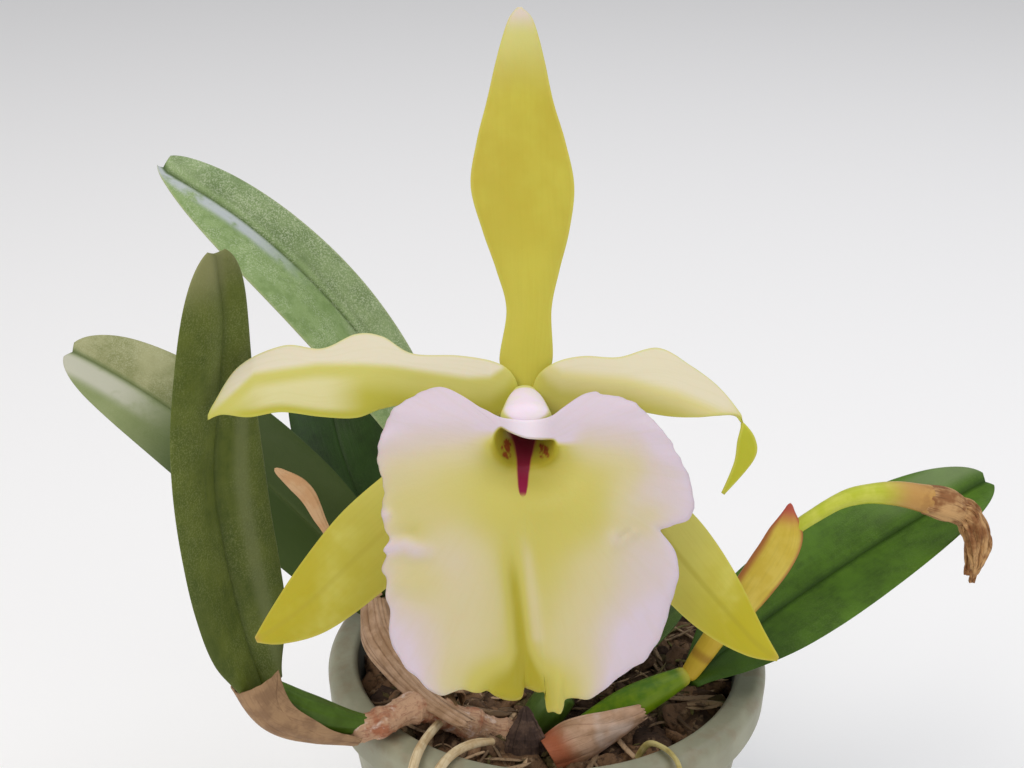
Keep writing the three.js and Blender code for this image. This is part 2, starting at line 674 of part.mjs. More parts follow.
makeTepal({
  name: "dorsal_sepal",
  material: FINISH.sepal,
  first: [
    [3, 1], [5.4, 5.6], [5.2, 15.6], [6.8, 23.5], [8.8, 31.5], [9.8, 40.5], [8, 49.5], [4.6, 57.4],
    [3, 65.4], [1.4, 71.4], [-0.8, 75.8],
  ],
  second: [
    [-3, 1], [-5.2, 5.6], [-3.8, 15.6], [-5.8, 23.5], [-8.6, 31.5], [-11, 40.5], [-9.6, 49.5], [-7.6, 57.4],
    [-5.8, 65.4], [-4, 71.4], [-1.4, 75.8],
  ],
  depth: dorsalDepth,
  rows: 15,
  cols: 4,
});
makeTepal({
  name: "petal_left",
  material: FINISH.petal,
  first: [
    [-1.8, 2.2], [-5.2, 5], [-13.3, 6.4], [-22.5, 6.8], [-28.5, 10.2], [-33.8, 10.7], [-40.3, 7.8],
    [-48.1, 8.4], [-56.9, 4.3], [-61.7, -2.9], [-63, -5.6],
  ],
  second: [
    [-1.6, -0.4], [-5.2, -2.9], [-13.3, -3.9], [-22.5, -3.3], [-28.1, -4.1], [-33.4, -5.9], [-40.3, -5.7],
    [-48.1, -4.8], [-54.7, -5.8], [-60, -5.3], [-63, -6.4],
  ],
  depth: (u, v) => petalDepth(u, -v),
  rows: 18,
  cols: 5,
});
makeTepal({
  name: "petal_right",
  material: FINISH.petal,
  first: [
    [1.6, -0.4], [5.4, -3], [12.5, -3.5], [20, -4.3], [28, -5.6], [33.5, -5.8], [37.5, -5.5], [40.7, -5.4],
    [42.3, -6.1], [45.3, -9.9], [45.2, -14.2], [39.4, -21.2],
  ],
  second: [
    [1.8, 2.2], [5.4, 5], [11.5, 6.3], [18.5, 6.1], [26.5, 8], [32.9, 4.5], [38.1, 0.5], [41.9, -4.2],
    [42.7, -6.4], [41.8, -10.4], [41.2, -14.8], [38.8, -20.8],
  ],
  depth: (u, v) => petalDepth(u, v),
  rows: 22,
  cols: 5,
});
makeTepal({
  name: "sepal_left",
  material: FINISH.sepal,
  first: [
    [-4.2, -0.6], [-11.2, -4.4], [-19.1, -10.4], [-28.1, -17.3], [-37.1, -25.3], [-45.1, -35.3],
    [-51, -44.3], [-54.4, -50.2],
  ],
  second: [
    [-0.6, -3.4], [-5.2, -10.4], [-11.2, -20.3], [-19.1, -31.3], [-28.1, -40.3], [-39.5, -48.6],
    [-48.5, -51.4], [-54, -51.2],
  ],
  depth: sepalDepth,
  rows: 12,
  cols: 4,
});
makeTepal({
  name: "sepal_right",
  material: FINISH.sepal,
  first: [
    [0.6, -3.4], [6.8, -10.4], [13.8, -21.3], [21.7, -34.3], [29.1, -43.3], [36.5, -49.6], [44.5, -53.8],
    [50.6, -55],
  ],
  second: [
    [4.2, -0.6], [12.8, -6.4], [22.7, -14.4], [32.7, -24.3], [37.7, -30.3], [42.7, -38.3], [47.7, -48.3],
    [51, -54.2],
  ],
  depth: sepalDepth,
  rows: 12,
  cols: 4,
});
const lipForm = { at: lipSurface, rows: 10, cols: LIP_MARGIN.length, thickness: LIP_THICKNESS, ring: true };
const lip = place("lip", FINISH.lip, sheet, lipForm, flower);
const column = place("column", FINISH.column, stem, {
  route: [[-0.2, -0.2, -3.4], [-0.1, -2.6, 2], [0, -6.7, 7.7]],
  radii: [1.6, 2.8, 4.3, 5.5],
  rows: 6,
  sides: 10,
  flat: 0.62,
  facing: [0, 1, 0],
}, flower);
fitTo(column, lip);

plant.updateMatrixWorld(true);
export default plant;
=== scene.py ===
# %% [markdown]
# # A potted orchid in flower
# A small orchid stands in a round nursery pot of 11 cm. One large bloom with a ruffled, lilac white
# lip faces the viewer over stiff leaves with a grey bloom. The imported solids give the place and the
# size of every piece, and this lesson gives each of them its fine form and its surface. All lengths
# below are millimetres, and one factor turns them to Blender's metres.

import math

import bpy
import numpy as np
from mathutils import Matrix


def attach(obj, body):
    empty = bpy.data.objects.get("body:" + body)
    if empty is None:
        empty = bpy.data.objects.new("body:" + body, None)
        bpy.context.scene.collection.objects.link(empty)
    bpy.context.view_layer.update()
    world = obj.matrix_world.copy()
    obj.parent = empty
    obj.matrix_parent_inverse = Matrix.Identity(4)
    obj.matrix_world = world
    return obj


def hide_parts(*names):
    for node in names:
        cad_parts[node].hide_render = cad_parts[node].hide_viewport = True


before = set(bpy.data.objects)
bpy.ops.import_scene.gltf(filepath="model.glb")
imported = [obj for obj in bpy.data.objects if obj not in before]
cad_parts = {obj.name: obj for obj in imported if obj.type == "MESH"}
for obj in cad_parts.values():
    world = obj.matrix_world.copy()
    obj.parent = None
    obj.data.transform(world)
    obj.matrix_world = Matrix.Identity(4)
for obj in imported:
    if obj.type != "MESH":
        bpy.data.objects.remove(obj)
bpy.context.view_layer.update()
MM = 0.001
print("pieces in the frame:", len(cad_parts))

# %% [markdown]
# ## Camera, floor and light
# The camera looks down at 24 degrees from a little over a third of a metre, as a person does who
# bends over the bench to look into the flower. A pale floor and large soft lamps, which are placed in
# metres, leave the colours to the petals.

# %% Camera at the photograph's angle
PICTURE_WIDTH = 1024
FOCAL_PIXELS = 1474
CAMERA_PLACE = (-8.7, -313.6, 304.1)
LOOKS_DOWN = 24
camera_data = bpy.data.cameras.new("camera")
camera_data.sensor_width = 36
camera_data.lens = camera_data.sensor_width * FOCAL_PIXELS / PICTURE_WIDTH
camera_data.clip_start = 0.01
camera = bpy.data.objects.new("camera", camera_data)
camera.location = [length * MM for length in CAMERA_PLACE]
camera.rotation_euler = (math.radians(90 - LOOKS_DOWN), 0, 0)
bpy.context.scene.collection.objects.link(camera)
bpy.context.scene.camera = camera
bpy.context.scene.view_settings.view_transform = "Standard"
print("lens:", round(camera_data.lens, 1), "mm")

# %% [markdown]
# ## How a finish is mixed
# Every surface of the plant is painted the same way: a ground colour, a few coats over it, then a
# relief. A coat covers where its masks are open, and a mask opens along a pattern, which is either a
# number that the mesh carries, such as the distance from the midrib, or a grain of a real size. The
# plain sRGB view shows the colours as they are mixed.

# %% Colours, nodes and finishes
WANDER = (4, 3)


def linear(code):
    """sRGB hex to linear RGBA: the low part is divided by 12.92, the rest raised to 2.4."""
    value = np.array([int(code[i : i + 2], 16) for i in (1, 3, 5)]) / 255
    value = np.where(value <= 0.04045, value / 12.92, ((value + 0.055) / 1.055) ** 2.4)
    return (*value.tolist(), 1.0)


def add(tree, kind, inputs=None, out=0, **settings):
    """Adds a node. settings are its properties, and inputs fill its sockets, by number or name, with
    a value, a colour code or the output of another node. Gives its output of the number or name out."""
    made = tree.nodes.new("ShaderNode" + kind)
    for key, value in settings.items():
        setattr(made, key, value)
    for key, value in (inputs or {}).items():
        if isinstance(value, bpy.types.NodeSocket):
            tree.links.new(value, made.inputs[key])
        else:
            made.inputs[key].default_value = linear(value) if isinstance(value, str) else value
    return made.outputs[out]


def finish(name, ground, coats=(), relief=(), roughness=(0.5, 0.5), **surface):
    """Material from a ground colour, coats, relief and a roughness that wanders between two values.

    A pattern is the name of a field of the mesh or a grain: (size, detail) in the room, or (length,
    width, detail) along the surface, in millimetres. A mask is (pattern, where it starts to open,
    where it is open). A coat is (colour, cover, mask, ...), with its masks multiplied, and a relief
    is (pattern, depth in millimetres). surface sets the sockets that are the same all over."""
    material = bpy.data.materials.new(name)
    material.use_nodes = True
    tree = material.node_tree
    shader = tree.nodes["Principled BSDF"]
    for key, value in surface.items():
        shader.inputs[key.replace("_", " ")].default_value = value
    wanted = [mask[0] for coat in coats for mask in coat[2:]] + [source for source, _ in relief] + [WANDER]
    drawn = {}
    for source in dict.fromkeys(wanted):
        if isinstance(source, str):
            drawn[source] = add(tree, "Attribute", out="Fac", attribute_name=source)
            continue
        if len(source) == 2:
            where, scale = add(tree, "TexCoord", out="Object"), [1 / (source[0] * MM)] * 3
        else:
            where = add(tree, "Attribute", out="Vector", attribute_name="place")
            scale = [1 / source[0], 1 / source[1], 1 / source[1]]
        placed = add(tree, "Mapping", {"Vector": where, "Scale": scale})
        grain = {"Vector": placed, "Scale": 1.0, "Detail": source[-1], "Roughness": 0.6}
        drawn[source] = add(tree, "TexNoise", grain)
    colour = ground
    for paint, cover, *masks in coats:
        for source, start, full in masks:
            mask = {0: drawn[source], 1: start, 2: full, 3: 0.0, 4: cover}
            cover = add(tree, "MapRange", mask, interpolation_type="SMOOTHSTEP")
        colour = add(tree, "Mix", {0: cover, 6: colour, 7: paint}, 2, data_type="RGBA")
    if isinstance(colour, str):
        shader.inputs["Base Color"].default_value = linear(colour)
    else:
        tree.links.new(colour, shader.inputs["Base Color"])
    normal = None
    for source, depth in relief:
        dent = {"Height": drawn[source], "Distance": depth * MM, "Strength": 1.0}
        if normal:
            dent["Normal"] = normal
        normal = add(tree, "Bump", dent)
    if normal:
        tree.links.new(normal, shader.inputs["Normal"])
    if roughness[0] == roughness[1]:
        shader.inputs["Roughness"].default_value = roughness[0]
    else:
        wander = {0: drawn[WANDER], 1: 0.3, 2: 0.7, 3: roughness[0], 4: roughness[1]}
        tree.links.new(add(tree, "MapRange", wander), shader.inputs["Roughness"])
    return material


# %% Floor and lamps
AIM = (0, -0.02, 0.15)
floor_mesh = bpy.data.meshes.new("floor")
FLOOR_HALF = 4
corners = [(x * FLOOR_HALF, y * FLOOR_HALF, 0) for x, y in ((-1, -1), (1, -1), (1, 1), (-1, 1))]
floor_mesh.from_pydata(corners, [], [(0, 1, 2, 3)])
floor = bpy.data.objects.new("floor", floor_mesh)
bpy.context.scene.collection.objects.link(floor)
floor_mesh.materials.append(finish("matt_white_card", "#fcfbfa", roughness=(0.9, 0.9)))

world = bpy.data.worlds.new("soft_room")
world.use_nodes = True
air = world.node_tree.nodes["Background"]
air.inputs["Color"].default_value = linear("#f6f7fa")
air.inputs["Strength"].default_value = 0.5
bpy.context.scene.world = world


def lamp(name, place, size, power, colour):
    """Square lamp at a place, turned towards the flower."""
    data = bpy.data.lights.new(name, "AREA")
    data.size = size
    data.energy = power
    data.color = linear(colour)[:3]
    made = bpy.data.objects.new(name, data)
    made.location = place
    aim = np.array(AIM) - np.array(place)
    made.rotation_euler = (math.atan2(math.hypot(aim[0], aim[1]), -aim[2]), 0, math.atan2(-aim[0], aim[1]))
    bpy.context.scene.collection.objects.link(made)


lamp("window", (-0.7, -0.7, 1.3), 0.9, 10.5, "#fffaf2")
lamp("sky", (0.6, 0.2, 1.5), 1.2, 8, "#f4f7ff")
lamp("bench", (0.9, -0.9, 0.5), 0.8, 2.2, "#ffffff")

# %% [markdown]
# ## Curves and skins
# Every piece below is a grid of points: a sheet between edges, or rings round a path. A sheet gets
# its thickness by moving a copy of the grid along its normals to each side, thinner at the rim, so
# that petals end in a fine edge. The same few functions serve leaf, petal, husk and root.

# %% Curves


def smooth(values, t):
    """Curve through evenly numbered values: cubics whose slope at a value is half the step from the
    value before to the value after."""
    p = np.asarray(values, float)
    along = np.clip(t, 0, 1) * (len(p) - 1)
    i = np.minimum(along.astype(int), len(p) - 2)
    f = along - i
    if p.ndim > 1:
        f = f[..., None]
    b, c = p[i], p[i + 1]
    first = (c - p[np.maximum(i - 1, 0)]) / 2
    last = (p[np.minimum(i + 2, len(p) - 1)] - b) / 2
    return b + f * (first + f * (3 * (c - b) - 2 * first - last + f * (2 * (b - c) + first + last)))


def step(x, low, high):
    """Smooth step: 0 below low, 1 above high, 3s2 - 2s3 between."""
    s = np.clip((x - low) / (high - low), 0, 1)
    return s * s * (3 - 2 * s)


def bell(x, centre, width):
    """Bell curve: exp of minus the squared distance in widths."""
    return np.exp(-(((x - centre) / width) ** 2))


def ramp(x, soft):
    """Nothing below 0 and x above it, with a round corner of the width soft."""
    return (x + np.sqrt(x * x + soft * soft)) / 2


def unit(v):
    """Vectors scaled to length one."""
    return v / np.maximum(np.linalg.norm(v, axis=-1, keepdims=True), 1e-9)


def path(points, t):
    """Points at shares t of the length of a curve through points. The slopes are weighed by the
    square roots of the distances, which keeps the curve from overshooting."""
    p = np.asarray(points, float)
    p = np.vstack([2 * p[0] - p[1], p, 2 * p[-1] - p[-2]])
    s = np.linspace(0, 1, 600) * (len(p) - 3)
    i = np.minimum(s.astype(int), len(p) - 4)
    f = (s - i)[:, None]
    p0, p1, p2, p3 = p[i], p[i + 1], p[i + 2], p[i + 3]
    d0, d1, d2 = (
        np.sqrt(np.linalg.norm(b - a, axis=1, keepdims=True)) for a, b in ((p0, p1), (p1, p2), (p2, p3))
    )
    m1 = d1 * ((p1 - p0) / d0 - (p2 - p0) / (d0 + d1) + (p2 - p1) / d1)
    m2 = d1 * ((p2 - p1) / d1 - (p3 - p1) / (d1 + d2) + (p3 - p2) / d2)
    line = p1 + f * (m1 + f * (3 * (p2 - p1) - 2 * m1 - m2 + f * (2 * (p1 - p2) + m1 + m2)))
    length = np.concatenate([[0], np.cumsum(np.linalg.norm(np.diff(line, axis=0), axis=1))])
    share = length / length[-1]
    return np.stack([np.interp(t, share, line[:, k]) for k in range(3)], -1), length[-1]


def frame_along(points, t, facing):
    """Middle line with two directions across it: side is tangent x facing, outward side x tangent."""
    middle, length = path(points, t)
    ahead, _ = path(points, np.clip(t + 0.004, 0, 1))
    behind, _ = path(points, np.clip(t - 0.004, 0, 1))
    tangent = unit(ahead - behind)
    side = unit(np.cross(tangent, np.broadcast_to(facing, tangent.shape)))
    return middle, side, np.cross(side, tangent), length


# %% Skins


def make_object(name, points, faces, fields):
    """Mesh object from points in millimetres and faces as blocks of rows of corner numbers. Faces are
    turned round if the volume they enclose comes out negative. fields are numbers or places that the
    materials read at each point."""
    blocks = [np.asarray(block) for block in faces]
    volume = 0
    for block in blocks:
        a = points[block[:, 0]]
        for k in range(1, block.shape[1] - 1):
            volume += np.einsum("ij,ij->", a, np.cross(points[block[:, k]], points[block[:, k + 1]]))
    if volume < 0:
        blocks = [block[:, ::-1] for block in blocks]
    mesh = bpy.data.meshes.new(name)
    mesh.from_pydata((points * MM).tolist(), [], [face for block in blocks for face in block.tolist()])
    for key, value in fields.items():
        value = np.asarray(value, np.float32)
        vector = value.shape[-1] == 3 and value.ndim > 1
        data = mesh.attributes.new(key, "FLOAT_VECTOR" if vector else "FLOAT", "POINT").data
        data.foreach_set("vector" if vector else "value", value.reshape(-1))
    mesh.polygons.foreach_set("use_smooth", np.ones(len(mesh.polygons), bool))
    mesh.update()
    made = bpy.data.objects.new(name, mesh)
    bpy.context.scene.collection.objects.link(made)
    return made


def grid_faces(rows, cols, wrap):
    """Corner numbers of the quads of a grid, which closes round its columns if wrap is true."""
    i, j = np.meshgrid(np.arange(rows - 1), np.arange(cols if wrap else cols - 1), indexing="ij")
    along = np.stack([i, i, i + 1, i + 1], -1).reshape(-1, 4)
    across = np.stack([j, j + 1, j + 1, j], -1).reshape(-1, 4)
    return along * cols + across % cols


def sheet(name, points, thickness, wrap=False, **fields):
    """Closed blade from a grid of points: each face is the grid moved half the thickness along the
    normal, the cross product of the two grid directions. The field place holds the millimetres along
    and across the blade."""
    rows, cols = points.shape[:2]
    along = np.gradient(points, axis=0)
    aside = np.roll(points, -1, 1) - np.roll(points, 1, 1) if wrap else np.gradient(points, axis=1)
    normal = unit(np.cross(aside, along))
    half = normal * np.broadcast_to(thickness, (rows, cols))[..., None] / 2
    both = np.concatenate([(points + half).reshape(-1, 3), (points - half).reshape(-1, 3)])
    if "place" not in fields:
        run = np.cumsum(np.linalg.norm(along[:, cols // 2], axis=-1))[:, None] + np.zeros(cols)
        wide = np.cumsum(np.linalg.norm(aside, axis=-1), axis=1)
        fields["place"] = np.stack([run, wide - wide[:, cols // 2][:, None], 0 * run], -1)
    quads = grid_faces(rows, cols, wrap)
    number = np.arange(rows * cols).reshape(rows, cols)
    rims = [number[0], number[-1][::-1]]
    if not wrap:
        rims = [np.concatenate([number[0, :-1], number[:-1, -1], number[-1, :0:-1], number[::-1, 0]])]
    faces = [quads, quads[:, ::-1] + rows * cols]
    for rim in rims:
        here, ahead = (rim, np.roll(rim, -1)) if wrap else (rim[:-1], rim[1:])
        faces.append(np.stack([here, here + rows * cols, ahead + rows * cols, ahead], -1))
    flat = {key: np.reshape(value, (rows * cols, -1)) for key, value in fields.items()}
    doubled = {key: np.concatenate([value, value]).squeeze() for key, value in flat.items()}
    return make_object(name, both, faces, doubled)


def skin(name, rings, **fields):
    """Closed body from rings of points, with a flat lid on the first and the last ring. Its place is
    that of the same stem pulled straight: millimetres along, then across as cosine and sine."""
    rows, sides = rings.shape[:2]
    centre = rings.mean(axis=1)
    run = np.concatenate([[0], np.cumsum(np.linalg.norm(np.diff(centre, axis=0), axis=1))])
    radius = np.linalg.norm(rings - centre[:, None], axis=-1).mean()
    angle = np.linspace(0, 2 * np.pi, sides, endpoint=False)[None] + np.zeros((rows, 1))
    place = np.stack([run[:, None] + 0 * angle, radius * np.cos(angle), radius * np.sin(angle)], -1)
    lids = [np.arange(sides)[None, ::-1], np.arange(sides)[None] + (rows - 1) * sides]
    flat = {key: np.ravel(value) for key, value in fields.items()}
    faces = [grid_faces(rows, sides, True), *lids]
    return make_object(name, rings.reshape(-1, 3), faces, {"place": place.reshape(-1, 3), **flat})


def stem_rings(route, radii, rows, sides, flat=1.0, facing=(0, 0, 1), ends=(1.5, 1.5), relief=None):
    """Rings round a route: radius x (cos, flat sin) on the side and outward directions, where flat
    may follow a list along the stem. ends are the millimetres over which each end closes like an
    ellipsoid, and relief(t, angle) adds height."""
    t = np.linspace(0, 1, rows)
    middle, side, outward, length = frame_along(route, t, facing)
    t = t[:, None]
    angle = np.linspace(0, 2 * np.pi, sides, endpoint=False)[None]
    close = np.ones_like(t)
    for size, gone in zip(ends, (t, 1 - t)):
        if size:
            close = close * np.sqrt(1 - (1 - np.clip(gone * length / size, 0.0004, 1)) ** 2)
    radius = smooth(radii, t) * close
    high = radius if relief is None else radius + close * relief(t, angle)
    flat = smooth(flat, t) if isinstance(flat, list) else flat
    wide, deep = high * np.cos(angle), high * flat * np.sin(angle)
    return middle[:, None] - side[:, None] * wide[..., None] + outward[:, None] * deep[..., None]


def random_waves(seed, first, second=(0, 0), whole=False, count=8):
    """Mean of sine waves of two numbers with seeded speeds and starts, for slow, even roughness.
    first and second bound their speeds; whole speeds of the second number close round an angle."""
    rng = np.random.default_rng(seed)
    a = rng.uniform(*first, count)
    b = rng.uniform(*second, count) * rng.choice([-1, 1], count)
    if whole:
        b = np.rint(b)
    start = rng.uniform(0, 2 * np.pi, count)
    waves = list(zip(a, b, start))
    return lambda x, y=0: sum(np.sin(one * x + two * y + shift) for one, two, shift in waves) / count


# %% [markdown]
# ## The pot
# A moulded polypropylene nursery pot: a thin tapered wall under a thick rolled rim, and six holes in
# its floor. It is one profile carried round its axis, which it only nears, so that its corners stay
# apart there. The holes are cut afterwards, because a turned profile can't hold holes beside its axis.

# %% Pot
POT = {"height": 92, "rim": 55, "mouth": 47.5, "band": 11, "foot": 39, "wall": 2, "floor": 2.6}
DRAIN = {"holes": 6, "radius": 4.5, "circle": 24}
AXIS = 0.02


def turned(name, profile, sides, centre=(0, 0)):
    """Body turned round an upright axis: each profile point (radius, height) becomes a ring."""
    r, z = np.asarray(profile, float).T
    angle = np.linspace(0, 2 * np.pi, sides, endpoint=False)
    flat_z = np.broadcast_to(z[:, None], (len(z), sides))
    rings = [centre[0] + np.outer(r, np.cos(angle)), centre[1] + np.outer(r, np.sin(angle)), flat_z]
    return skin(name, np.stack(rings, -1))


def rounded(profile, radius, steps=5):
    """Profile with each inner corner replaced by a parabola that starts radius before it."""
    p = np.asarray(profile, float)
    out = [p[0]]
    for before, corner, after in zip(p, p[1:], p[2:]):
        to_before, to_after = before - corner, after - corner
        reach = min(radius, 0.45 * np.linalg.norm(to_before), 0.45 * np.linalg.norm(to_after))
        start = corner + reach * to_before / np.linalg.norm(to_before)
        end = corner + reach * to_after / np.linalg.norm(to_after)
        s = np.linspace(0, 1, steps)[:, None]
        out.extend((1 - s) ** 2 * start + 2 * s * (1 - s) * corner + s**2 * end)
    out.append(p[-1])
    return np.array(out)


top, rim, mouth, foot = (POT[key] for key in ("height", "rim", "mouth", "foot"))
neck = top - POT["band"]
inner_wall = [[mouth, top - 1.2], [mouth - 0.8, neck], [foot - POT["wall"], POT["floor"]]]
profile = [
    [AXIS, 0], [foot - 2, 0], [foot, 2], [mouth + 3, neck - 3], [rim - 1.6, neck], [rim - 0.4, neck + 1.4],
    [rim, top - 2.2], [rim - 1.8, top], [mouth + 1, top], *inner_wall, [AXIS, POT["floor"]],
]  # fmt: skip
pot = turned("pot_moulded", rounded(profile, 1.2), 180)
drills = []
for k in range(DRAIN["holes"]):
    around = 2 * math.pi * k / DRAIN["holes"]
    centre = DRAIN["circle"] * math.cos(around), DRAIN["circle"] * math.sin(around)
    drills.append(turned("drill", [[DRAIN["radius"], -3], [DRAIN["radius"], 6]], 40, centre))
for hole in drills:
    cut = pot.modifiers.new("hole", "BOOLEAN")
    cut.object = hole
    cut.operation = "DIFFERENCE"
    cut.solver = "EXACT"
graph = bpy.context.evaluated_depsgraph_get()
drilled = bpy.data.meshes.new_from_object(pot.evaluated_get(graph))
pot.modifiers.clear()
pot.data = drilled
for hole in drills:
    bpy.data.objects.remove(hole)
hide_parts("pot")
print("pot corners:", len(pot.data.vertices))

# %% [markdown]
# ## Bark
# Orchids grow in coarse fir bark, not soil. A low dark mound carries several hundred chips. Each chip
# is a superellipsoid, a ball whose sines and cosines are raised to a small power until it is nearly a
# box, with corners shifted at random so that no two look alike. All chips are worked out in one go.

# %% Bark bed
BARK_LEVEL = 84.0
MOUND_RADIUS = 44.0
CHIPS = 520
GOLDEN_ANGLE = 2.39996


def draws(rng, count, *bounds):
    """Rows of random numbers, one row for each pair of bounds, drawn in that order."""
    return [rng.uniform(low, high, count) for low, high in bounds]


def chip_bodies(centres, sizes, turns, seed, power=0.42, rows=7, cols=10):
    """Corner points of many chips at once: sizes x (cos a cos b, cos a sin b, sin a), each factor
    raised to the power, shaken by up to a fifth, then turned and moved."""
    rng = np.random.default_rng(seed)
    a = np.linspace(-np.pi / 2 + 0.02, np.pi / 2 - 0.02, rows)[:, None]
    b = np.linspace(0, 2 * np.pi, cols, endpoint=False)[None]
    curved = [np.cos(a) * np.ones_like(b), np.sin(a) * np.ones_like(b), np.cos(b), np.sin(b)]
    ca, sa, cb, sb = (np.sign(x) * np.abs(x) ** power for x in curved)
    ball = np.stack([ca * cb, ca * sb, sa], -1)
    shift = rng.uniform(-0.2, 0.2, (len(centres), rows, cols, 1)) * (np.abs(ball[..., 2:]) < 0.99)
    body = ball * (1 + shift) * sizes[:, None, None] / 2
    return np.einsum("nij,nrcj->nrci", turns, body) + centres[:, None, None]


def turns_from(yaw, tip, twist):
    """Turning matrices: first tip round x, then twist round y, then yaw round z."""
    one, none = np.ones_like(yaw), np.zeros_like(yaw)
    cx, sx, cy, sy, cz, sz = (f(x) for x in (tip, twist, yaw) for f in (np.cos, np.sin))
    x = np.stack([one, none, none, none, cx, -sx, none, sx, cx], -1).reshape(-1, 3, 3)
    y = np.stack([cy, none, sy, none, one, none, -sy, none, cy], -1).reshape(-1, 3, 3)
    z = np.stack([cz, -sz, none, sz, cz, none, none, none, one], -1).reshape(-1, 3, 3)
    return z @ y @ x


def many_bodies(name, bodies, tints):
    """One mesh from many small closed bodies that share a grid, each with its own tint."""
    count, rows, cols = bodies.shape[:3]
    first = (np.arange(count) * rows * cols)[:, None, None]
    quads = (grid_faces(rows, cols, True)[None] + first).reshape(-1, 4)
    lids = np.stack([np.arange(cols)[::-1], np.arange(cols) + (rows - 1) * cols])
    lids = (lids[None] + first).reshape(-1, cols)
    return make_object(name, bodies.reshape(-1, 3), [quads, lids], {"tint": np.repeat(tints, rows * cols)})


rng = np.random.default_rng(7)
k = np.arange(CHIPS)
reach = MOUND_RADIUS * np.sqrt((k + 0.5) / CHIPS) + rng.uniform(-1, 1, CHIPS)
spin = k * GOLDEN_ANGLE
sizes = np.stack(draws(rng, CHIPS, (6, 13), (4, 7.5), (2, 4)), -1)
level = BARK_LEVEL + rng.uniform(-1.2, 1.6, CHIPS) - 1.5 * step(reach, 36, MOUND_RADIUS)
centres = np.stack([reach * np.cos(spin), reach * np.sin(spin), level], -1)
turns = turns_from(*draws(rng, CHIPS, (0, np.pi), (-0.6, 0.6), (-0.5, 0.5)))
bark_chips = many_bodies("bark_chips", chip_bodies(centres, sizes, turns, 11), rng.uniform(0, 1, CHIPS))
low = POT["floor"] + 0.3
mound = [[AXIS, low], [foot - POT["wall"] - 0.6, low], [45.4, 81], [36, 83], [18, 83.8], [AXIS, 84.2]]
bark_core = turned("bark_core", mound, 96)
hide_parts("bark_bed")
print("chips:", CHIPS, "faces:", len(bark_chips.data.polygons))

# %% [markdown]
# ## Leaves
# A leaf of this orchid is one stiff blade, folded a little along its midrib, with a blunt notched
# tip. Its midrib is stepped along a path whose heading and rise change evenly, and the blade is
# spread to both sides of it. The groove over the midrib and the round, slightly thinner edge are
# what make it look fleshy.

# %% Leaf blades
LEAF_HALF_WIDTHS = [0.34, 0.66, 0.88, 0.98, 1, 0.96, 0.88, 0.76, 0.62]
GROOVE = 0.55
STEPS = 480


def leaf_points(
    base, length, width, heading, rise, roll, fold, seed, blunt=14, shape=LEAF_HALF_WIDTHS, pull=(0, 0)
):
    """Blade: midrib + side v reach cos(fold) + lift h, where v runs from -1 to 1 and reach follows the
    list of half widths. h adds |w| reach sin(fold), two swollen halves and the groove, where w is 0 in
    the groove, which lies pull millimetres beside the midrib. Side and lift lie across the midrib,
    turned by roll."""
    u = 1 - (1 - np.linspace(0, 1, 130)) ** 1.3
    t = (np.arange(STEPS) + 0.5) / STEPS

    def ahead(at):
        bearing = np.radians(heading[0] + (heading[1] - heading[0]) * at)
        climb = np.radians(rise[0] + (rise[1] - rise[0]) * at)
        flat = np.cos(climb)
        forward = np.stack([flat * np.cos(bearing), flat * np.sin(bearing), np.sin(climb)], -1)
        return forward, np.stack([np.sin(bearing), -np.cos(bearing), 0 * at], -1)

    steps = np.vstack([[0, 0, 0], np.cumsum(ahead(t)[0] * length / STEPS, axis=0)])
    midrib = np.stack([np.interp(u, np.linspace(0, 1, STEPS + 1), line) for line in steps.T], -1)
    forward, level = ahead(u)
    upward = np.cross(level, forward)
    turn = np.radians(roll[0] + (roll[1] - roll[0]) * u)[:, None]
    side = level * np.cos(turn) + upward * np.sin(turn)
    lift = upward * np.cos(turn) - level * np.sin(turn)
    reach = ((width / 2) * smooth(shape, u) * np.sqrt(1 - 0.93 * u**blunt))[:, None]
    x = np.linspace(-1, 1, 49)[None]
    w = x - 0.12 * np.sin(2 * np.pi * x)
    v = w + np.clip(smooth(list(pull), u)[:, None] / reach, -0.45, 0.45) * (1 - w * w)
    u = u[:, None]
    waves = random_waves(seed, (3, 12), (1, 4))
    edge = 1 + 0.015 * waves(u, np.sign(v) * 3)
    fold = math.radians(fold)
    high = (np.sqrt(w * w + 0.003) - 0.055) * reach * math.sin(fold)
    high = high + 0.24 * reach * np.abs(w) * (1 - np.abs(w)) - GROOVE * bell(w * reach, 0, 0.6) * (1 - u**6)
    high = high + 0.3 * waves(2 * u, w) * w**2
    out = (v * reach * math.cos(fold) * edge)[..., None] * side[:, None] + high[..., None] * lift[:, None]
    notch = 0.9 * u**40 * (1 - np.abs(w))
    points = np.asarray(base) + midrib[:, None] + out - notch[..., None] * forward[:, None]
    return points, u + 0 * v, v + 0 * u, w * reach


